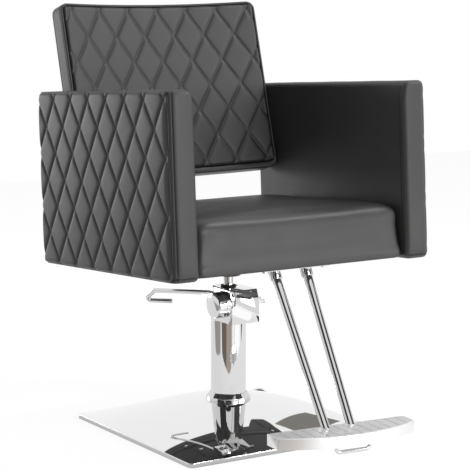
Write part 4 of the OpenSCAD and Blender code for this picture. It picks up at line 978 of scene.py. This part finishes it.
def seat_shell():
    """The seat cushion, on the seat's own level."""
    w, d = 2 * (gap_half - seat_gap), seat_front + seat_rear
    mid = (seat_rear - seat_front) / 2
    upright = seat_h - seat_edge_r
    levels = [(4 * MM, 0), (1.2 * MM, 0.6 * MM), (0, 3 * MM), (0, seat_foot_h)]
    levels += [(seat_bulge * math.sin(math.pi * t), seat_foot_h + (upright - seat_foot_h) * t)
               for t in np.linspace(0.12, 1, 8)]
    levels += [(seat_edge_r * (1 - math.cos(a)), upright + seat_edge_r * math.sin(a))
               for a in np.radians(np.linspace(8, 90, 11))]
    rings = []
    for inset, z in levels:
        share = min(max(z / MM - corner_from, 0) / corner_over, 1)
        corner = seat_foot_corner_r + (seat_upper_corner_r - seat_foot_corner_r) * share
        points = outline(w - 2 * inset, -d / 2 + inset, d / 2 - inset, corner + inset * 0.6, 30, 8)
        rings.append([(x, y + mid, seat_z + z) for x, y in points])
    for share in np.linspace(0.94, 0.06, 14):
        points = outline((w - 2 * seat_edge_r) * share, -(d / 2 - seat_edge_r) * share,
                         (d / 2 - seat_edge_r) * share, max(seat_upper_corner_r * 1.2 * share, 0.002), 30, 8)
        rings.append([(x, y + mid, seat_z + seat_h + seat_crown * (1 - share ** 2.2)) for x, y in points])
    verts, faces = loft(rings)
    return np.array(verts), faces


def swollen(verts, faces, foot):
    """A skin blown up as cloth, no point further than the cloth's reach from its start."""
    mesh = bpy.data.meshes.new("skin")
    mesh.from_pydata([tuple(v) for v in verts], [], faces)
    skin = bpy.data.objects.new("skin", mesh)
    bpy.context.scene.collection.objects.link(skin)
    even = skin.modifiers.new("even", "REMESH")
    even.mode = "VOXEL"
    even.voxel_size = cloth_voxel
    mesh = bpy.data.meshes.new_from_object(skin.evaluated_get(bpy.context.evaluated_depsgraph_get()))
    skin.modifiers.clear()
    skin.data = mesh
    start = np.empty(3 * len(mesh.vertices))
    mesh.vertices.foreach_get("co", start)
    start = start.reshape(-1, 3)
    group = skin.vertex_groups.new(name="held")
    group.add([int(k) for k in np.flatnonzero(start[:, 2] < foot + cloth_voxel)], 1, "REPLACE")
    cloth = skin.modifiers.new("cloth", "CLOTH")
    cloth.settings.quality = 5
    cloth.settings.use_pressure = True
    cloth.settings.uniform_pressure_force = cloth_pressure
    cloth.settings.effector_weights.gravity = 0
    cloth.settings.tension_stiffness = cloth.settings.compression_stiffness = cloth_stretch
    cloth.settings.shear_stiffness = cloth_shear
    cloth.settings.bending_stiffness = cloth_bend
    cloth.settings.vertex_group_mass = "held"
    cloth.point_cache.frame_start, cloth.point_cache.frame_end = 1, CLOTH_FRAMES
    for number in range(1, CLOTH_FRAMES + 1):
        bpy.context.scene.frame_set(number)
    after = bpy.data.meshes.new_from_object(skin.evaluated_get(bpy.context.evaluated_depsgraph_get()))
    moved = np.empty(3 * len(after.vertices))
    after.vertices.foreach_get("co", moved)
    step = moved.reshape(-1, 3) - start
    step *= cloth_reach / (np.linalg.norm(step, axis=1, keepdims=True) + cloth_reach)
    step *= np.clip((start[:, 2:] - foot) / cloth_fade_h, 0, 1)
    ends = np.array([tuple(edge.vertices) for edge in mesh.edges])
    for _ in range(cloth_smoothings):
        total, count = step.copy(), np.ones((len(step), 1))
        for one, other in ((0, 1), (1, 0)):
            np.add.at(total, ends[:, one], step[ends[:, other]])
            np.add.at(count, ends[:, one], 1)
        step = total / count
    faces = [tuple(face.vertices) for face in mesh.polygons]
    bpy.context.scene.frame_set(1)
    bpy.data.objects.remove(skin)
    return start + step, faces


verts, faces = seat_shell()
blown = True
if blown:
    # the skin starts a little slim, but wide and low at its foot, so that it covers the board
    above = np.clip((verts[:, 2] - seat_z) / seat_h, 0, 1)
    verts[:, 1] += np.clip(-verts[:, 1] / seat_front, 0, 1) * seat_slim * above
    verts[:, 2] -= above * seat_slim
    low = verts[:, 2] < seat_z + foot_band
    verts[low, :2] *= 1 + foot_spread / gap_half
    verts[verts[:, 2] < seat_z + seat_slim, 2] -= foot_drop
    verts, faces = swollen(verts, faces, seat_z)
    verts[:, 0] = np.clip(verts[:, 0], -gap_half + seat_gap * 0.6, gap_half - seat_gap * 0.6)
seat = piece("crowned_seat_cushion", verts, faces, seat_leather, "seat_unit", "black_leather",
             ["seat_cushion"], LEAN)
if blown:
    finer = seat.modifiers.new("finer", "SUBSURF")
    finer.levels = finer.render_levels = 1


# Base and column

crown_ease = 16 * MM
flat_ease = 1.6 * MM
dome_steps = 60
under_lip_h = 2.5 * MM
polish_edge = 0.3 * MM
polish_r = 830 * MM


def dome_height(x, y):
    """Height of the dome; its crown and the flat round the column run softly into each other."""
    rim = math.hypot(half, crown_ease)
    u = (np.hypot(x, crown_ease) - crown_ease) / (rim - crown_ease)
    v = (np.hypot(y, crown_ease) - crown_ease) / (rim - crown_ease)
    full = np.clip((1 - u ** dome_bend) * (1 - v ** dome_bend), 0, 1)
    z = base_lip + (dome_peak - base_lip) * full ** dome_fill
    h = np.clip(0.5 + 0.5 * (base_top - z) / flat_ease, 0, 1)
    return base_top * (1 - h) + z * h - flat_ease * h * (1 - h)


def dome():
    """The base's top, then its lip down and round under the edge; also the count of the top's points."""
    r = base_corner_r
    straight = np.linspace(0, half - r, dome_steps)
    corner = half - r + r * np.sin(np.radians([18, 36, 54, 72, 90]))
    g = np.concatenate([straight, corner])
    g = np.concatenate([-g[:0:-1], g])
    x, y = np.meshgrid(g, g)
    x, y = round_corners(x, y, half, half, r)
    n = len(g)
    z = dome_height(x, y)
    verts = np.stack([x, y, z], -1).reshape(-1, 3).tolist()
    faces = [(j * n + i, j * n + i + 1, (j + 1) * n + i + 1, (j + 1) * n + i)
             for j in range(n - 1) for i in range(n - 1)]
    previous = grid_rim(n, n)
    edge = np.array([verts[k] for k in previous])
    count = len(previous)

    def step(inset, z_at):
        nonlocal previous
        start = len(verts)
        k = 1 - inset / half
        for p in edge:
            verts.append((p[0] * k, p[1] * k, z_at))
        for i in range(count):
            j = (i + 1) % count
            faces.append((previous[j], previous[i], start + i, start + j))
        previous = list(range(start, start + count))

    lip = base_lip / MM
    for inset, z_at in ((-0.3, lip - 0.7), (-0.4, lip - 2), (-0.4, 2.4), (-0.1, 1.4), (0.8, 1.0), (1.8, 1.2),
                        (2.4, 2.2), (2.4, 9)):
        step(inset * MM, z_at * MM)
    return verts, faces, n * n


verts, faces, top_count = dome()
# painted shade on the base's lip: none on its top, growing down its side to full below and under it
lip_shade = [min(max((base_lip - z) / under_lip_h, 0), 1) if k >= top_count else 0
             for k, (x, y, z) in enumerate(verts)]
base = piece("domed_base", verts, faces, dome_chrome, "stand", "bright_chrome", ["base_plate"],
             marks=lip_shade)
# the polish is rounder than the pressing: up to the rim it reflects like a ball of the polish's radius
normals = [(0, 0, 0)] * len(verts)
for k, (x, y, z) in enumerate(verts[:top_count]):
    if max(abs(x), abs(y)) < half - polish_edge:
        normals[k] = tuple(Vector((x, y, polish_r)).normalized())
base.data.normals_split_custom_set_from_vertices(normals)

sleeve_r = sleeve_d / 2
sleeve_low, sleeve_high = base_top + sleeve_foot_h, cylinder_top - sleeve_gap
sleeve = [(sleeve_r - sleeve_skin_t, sleeve_low), (sleeve_r, sleeve_low),
          (sleeve_r, sleeve_high), (sleeve_r - sleeve_skin_t, sleeve_high)]
chromed("polished_sleeve", turned(eased(sleeve, sleeve_ease), tube=True), "stand", "column_sleeve")

collar_r, collar_top = collar_d / 2, base_top + collar_band_h + collar_cone_h
collar = [(sleeve_r + collar_gap, base_top), (collar_r, base_top), (collar_r, base_top + collar_band_h),
          (collar_top_d / 2, collar_top), (sleeve_r + collar_gap, collar_top)]
chromed("polished_collar", turned(eased(collar, collar_ease), tube=True), "stand", "column_collar")

ram_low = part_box("ram")[0].z
ram_r, neck_r = ram_d / 2, ram_d / 2 - ram_neck_cut
ram = [(ram_centre_r, ram_low), (neck_r, ram_low), (neck_r, ram_low + ram_neck_h),
       (ram_r, ram_low + ram_neck_h), (ram_r, ram_top), (ram_centre_r, ram_top)]
chromed("polished_ram", turned(eased(ram, ram_ease)), "lift", "ram")

eased_copy("pump_head", bright_chrome, "stand", 0.8 * MM)
eased_copy("shaft_tab", bright_chrome, "lever", 0.4 * MM)

hub_x = -head_w / 2 - head_cheek_t - lever_gap
hub_face = hub_x - lever_hub_t - hub_proud
hub_flat = shaft_d / 2 + hub_flat_rim
hub = [(hub_centre_r, hub_face)]
hub += [(hub_flat + (cheek_d / 2 - hub_flat) * math.sin(a), hub_face + hub_bulge * (1 - math.cos(a)))
        for a in np.radians(np.linspace(0, 90, 10))]
hub += [(cheek_d / 2, hub_x - hub_ease), (cheek_d / 2 - hub_ease, hub_x), (shaft_d / 2, hub_x)]
rod_x, rod_z = hub_x - lever_hub_t / 2, shaft_z + rod_rise
rod = bent([(rod_x, -shaft_front, rod_z), (rod_x, rod_root_back - shaft_front, rod_z),
            rod_bend, bar_out, bar_in], bend_r)
lever = joined([turned(hub, centre=(0, -shaft_front, shaft_z), axis="X"), swept(rod, rod_d / 2)])
chromed("bent_pump_lever", lever, "lever", "pump_lever")


# Footrest

tube_top_z = seat_z - tube_board_gap - tube_top[1] * math.tan(seat_tilt)
parts = []
for sx in (-1, 1):
    low = Vector((sx * tube_low[0], tube_low[1], tube_low[2]))
    high = Vector((sx * tube_top[0], tube_top[1], tube_top_z))
    end = high - (high - low).normalized() * tube_end_cut
    parts.append(swept([low, low.lerp(high, 0.5), end], tube_d / 2, 48))
chromed("polished_footrest_tubes", joined(parts), "seat_unit", "footrest_tubes")


def footplate_shell():
    """The hollow crescent casting, its grooves stopping short of the front lip."""
    sagitta = footplate_front - footplate_rear - footplate_end
    r = (footplate_w ** 2 / 4 + sagitta ** 2) / (2 * sagitta)
    half_w = footplate_w / 2
    top, low = footplate_top, footplate_top - footplate_h
    rear, ease = -footplate_rear, 0.9 * MM
    groove_start, groove_stop, groove_slope = 5 * MM, 4 * MM, 0.3 * MM
    lip_w, lip_depth = 1.5 * MM, 0.6 * MM
    stations = [(x, 0, 1) for x in np.linspace(-half_w + 6 * MM, half_w - 6 * MM, 54)]
    for k in range(groove_count):
        at = (k - (groove_count - 1) / 2) * footplate_w / (groove_count + 1)
        stations = [each for each in stations if abs(each[0] - at) > groove_line_w]
        stations += [(at + sx * groove_line_w * share, cut, 1)
                     for sx in (-1, 1) for share, cut in ((0.5, 0), (0.38, 1))]
    for sx in (-1, 1):
        wall_x = half_w - footplate_wall
        stations += [(sx * half_w, 0, 0), (sx * (half_w - ease), 0, 0),
                     (sx * wall_x, 0, 0), (sx * (wall_x - 0.05 * MM), 0, 1)]
    rings, marks = [], []
    for x, cut, hollow in sorted(stations):
        front = r - footplate_front - math.sqrt(r * r - x * x)
        inset = ease if abs(x) > half_w - ease / 2 else 0
        inner = top - footplate_wall if hollow else low + 0.02 * MM
        crest, floor = top - inset, top - inset - groove_line_depth * cut
        line = front + inset + groove_stop
        ring = [(rear - inset, low), (rear - inset, top - ease - inset), (rear - inset - ease, crest),
                (rear - groove_start, crest), (rear - groove_start - groove_slope, floor),
                (line + lip_w + groove_slope, floor), (line + lip_w, crest),
                (line + 1.1 * MM, crest - lip_depth), (line + 0.4 * MM, crest - lip_depth), (line, crest),
                (front + inset + ease, crest), (front + inset, top - ease - inset), (front + inset, low),
                (front + footplate_wall, low), (front + footplate_wall, inner),
                (rear - footplate_wall, inner), (rear - footplate_wall, low)]
        rings.append([(x, y, z) for y, z in ring])
        # painted shade: the grooves' floors and the small groove by the front lip are darkened
        marks += [cut if k in (4, 5) else 0.75 if k in (7, 8) else 0 for k in range(len(ring))]
    verts, faces = loft(rings)
    return verts, [face[::-1] for face in faces], marks


verts, faces, marks = footplate_shell()
boss_low = footplate_top - footplate_h + boss_up
boss_high = footplate_top - boss_sunk
for sx in (-1, 1):
    at = FOOT.inverted() @ Vector((sx * tube_low[0], tube_low[1], 0))
    more, more_faces = swept([(at.x, at.y, boss_low), (at.x, at.y, boss_high)], boss_d / 2, 48)
    verts, faces = joined([(verts, faces), (more, more_faces)])
    marks += [0] * len(more)
plate = piece("grooved_footplate", verts, faces, alloy, "seat_unit", "brushed_alloy", ["footplate"],
              FOOT, marks)
plate.data.set_sharp_from_angle(angle=plate_sharp_from)
low_z = footplate_top - footplate_h - loop_drop + loop_d / 2
high_z = footplate_top - footplate_wall - loop_sunk
y = loop_back - footplate_front
loop = bent([(-loop_w / 2, y, high_z), (-loop_w / 2, y, low_z),
             (loop_w / 2, y, low_z), (loop_w / 2, y, high_z)], loop_bend_r)
chromed("bent_footplate_loop", swept(loop, loop_d / 2), "seat_unit", "footplate_loop", FOOT)
for name, material, slot in (("seat_mount", black_steel, "dark_steel"),
                             ("footrest_mount", bright_chrome, "bright_chrome"),
                             ("cross_bars", black_steel, "dark_steel")):
    eased_copy(name, material, "seat_unit", 0.6 * MM)


# The plain room

def stage_board(name, corners, material, place=Matrix.Identity(4)):
    """A flat board of the room, no part of the chair."""
    mesh = bpy.data.meshes.new(name)
    mesh.from_pydata(corners, [], [tuple(range(len(corners)))])
    mesh.materials.append(material)
    made = bpy.data.objects.new(name, mesh)
    made.matrix_world = place
    bpy.context.scene.collection.objects.link(made)
    return made


def rectangle(w, h):
    """Corners of a flat rectangle about the origin."""
    return [(sx * w / 2, sy * h / 2, 0) for sx, sy in ((-1, -1), (1, -1), (1, 1), (-1, 1))]


def pale_floor(net):
    """White by itself, with a little plain paint that takes the chair's shadow."""
    white = net.node("ShaderNodeEmission", {}, {"Color": grey(1.0), "Strength": 0.9})
    plain = net.node("ShaderNodeBsdfDiffuse", {}, {"Color": grey(0.2)})
    return net.node("ShaderNodeAddShader", {}, {0: white, 1: plain})


floor_drop = 0.4 * MM
mat_rise = 0.2 * MM
stage_board("floor", rectangle(9, 9), surfaced("pale floor", pale_floor),
            Matrix.Translation((0, 0, -floor_drop)))


def only_reflected(made):
    """Hides a board from all but reflections."""
    made.visible_camera = made.visible_shadow = made.visible_diffuse = False


def dark_card(name, at, aim, size):
    """A dark flag beside the set."""
    turn = (Vector(aim) - Vector(at)).to_track_quat("Z", "Y").to_matrix().to_4x4()
    only_reflected(stage_board(name, rectangle(*size), card_finish, Matrix.Translation(at) @ turn))


card_finish = finish("dark flag", dull(0.03, 0.9, 5.0, 0.0))
dark_card("front_flag", (-3.0, -4.8, 1.3), (0, 0, 0.6), (3.4, 3.4))
dark_card("left_flag", (-4.4, -1.5, 1.9), (0, 0, 0.6), (3.6, 4.4))


def seen_in_chrome(name, corners, tone):
    """A flat board that shines in one tone."""
    paint = surfaced(name + " paint",
                     lambda net: net.node("ShaderNodeEmission", {}, {"Color": tone, "Strength": 1.0}))
    only_reflected(stage_board(name, corners, paint))


def on_floor(*corners):
    """Points just over the floor from (distance, angle from the front)."""
    return [(d * math.sin(math.radians(a)), -d * math.cos(math.radians(a)), mat_rise) for d, a in corners]


seen_in_chrome("grey_mat", on_floor((0.85, -84), (3, -84), (3, -142), (0.85, -120)), (0.42, 0.4, 0.39, 1))
seen_in_chrome("brown_mat", on_floor((0.66, -45), (0.72, -57), (0.84, -72), (3, -80), (3, -45)),
               (0.2, 0.165, 0.14, 1))
seen_in_chrome("tan_mat", on_floor((0.6, -27), (0.66, -45), (3, -45), (3, -11), (0.95, -11), (0.66, -16)),
               (0.5, 0.42, 0.36, 1))
seen_in_chrome("white_mat", on_floor((0.8, -9), (3, -9), (3, 44), (0.95, 44)), (1.45, 1.45, 1.45, 1))
seen_in_chrome("dark_strip", on_floor((0.95, 57), (3, 53), (3, 80)), (0.01, 0.01, 0.01, 1))
seen_in_chrome("brown_board", [(1.65, 1.74, 1.66), (2.02, 2.0, 0.96), (2.24, 1.83, 0.88), (1.9, 1.4, 1.7)],
               (0.23, 0.22, 0.205, 1))
seen_in_chrome("brow_board", [(0.2, -1.25, 0.55), (1.1, -0.85, 0.55), (1.1, -0.75, 1.15), (0.2, -1.15, 1.15)],
               (0.075, 0.075, 0.075, 1))

world = bpy.data.worlds.new("white room")
bpy.context.scene.world = world
world.use_nodes = True
net = Network(world.node_tree)
seen = net.node("ShaderNodeLightPath", output="Is Camera Ray")
seen = seen.larger(net.node("ShaderNodeLightPath", output="Is Glossy Ray"))
seen = seen.larger(net.node("ShaderNodeLightPath", output="Is Transmission Ray"))
room_light = 0.3
net.node("ShaderNodeOutputWorld", {}, {"Surface": net.node(
    "ShaderNodeBackground", {}, {"Color": grey(1.0), "Strength": seen * (1 - room_light) + room_light})})


def lamp(name, at, aim, size, watts):
    """A rectangular softbox turned towards a point."""
    data = bpy.data.lights.new(name, "AREA")
    data.shape = "RECTANGLE"
    data.size, data.size_y = size
    data.energy = watts
    made = bpy.data.objects.new(name, data)
    made.location = at
    made.rotation_euler = (Vector(aim) - Vector(at)).to_track_quat("-Z", "Y").to_euler()
    bpy.context.scene.collection.objects.link(made)


lamp("front softbox", (2.9, -3.3, 1.5), (0, -0.1, 0.5), (2.2, 2.0), 100)
lamp("front fill", (0.4, -4.4, 1.3), (0, -0.1, 0.5), (1.6, 1.4), 84)
lamp("overhead softbox", (1.5, -0.9, 2.9), (0, -0.2, 0.5), (0.55, 0.55), 30)
lamp("rear side softbox", (-1.6, 3.9, 0.75), (-0.3, 0, 0.55), (1.2, 1.2), 25)

camera_data = bpy.data.cameras.new("camera")
camera = bpy.data.objects.new("camera", camera_data)
bpy.context.scene.collection.objects.link(camera)
camera_data.sensor_width = 36
camera_data.lens = 136.06
camera_data.shift_y = -0.1366
camera_data.clip_end = 50
camera.location = (-2.0801, -3.2823, 1.0104)
camera.rotation_euler = (math.radians(90 - 6.38), 0, math.radians(-32.58))
bpy.context.scene.camera = camera
bpy.context.scene.view_settings.view_transform = "Standard"
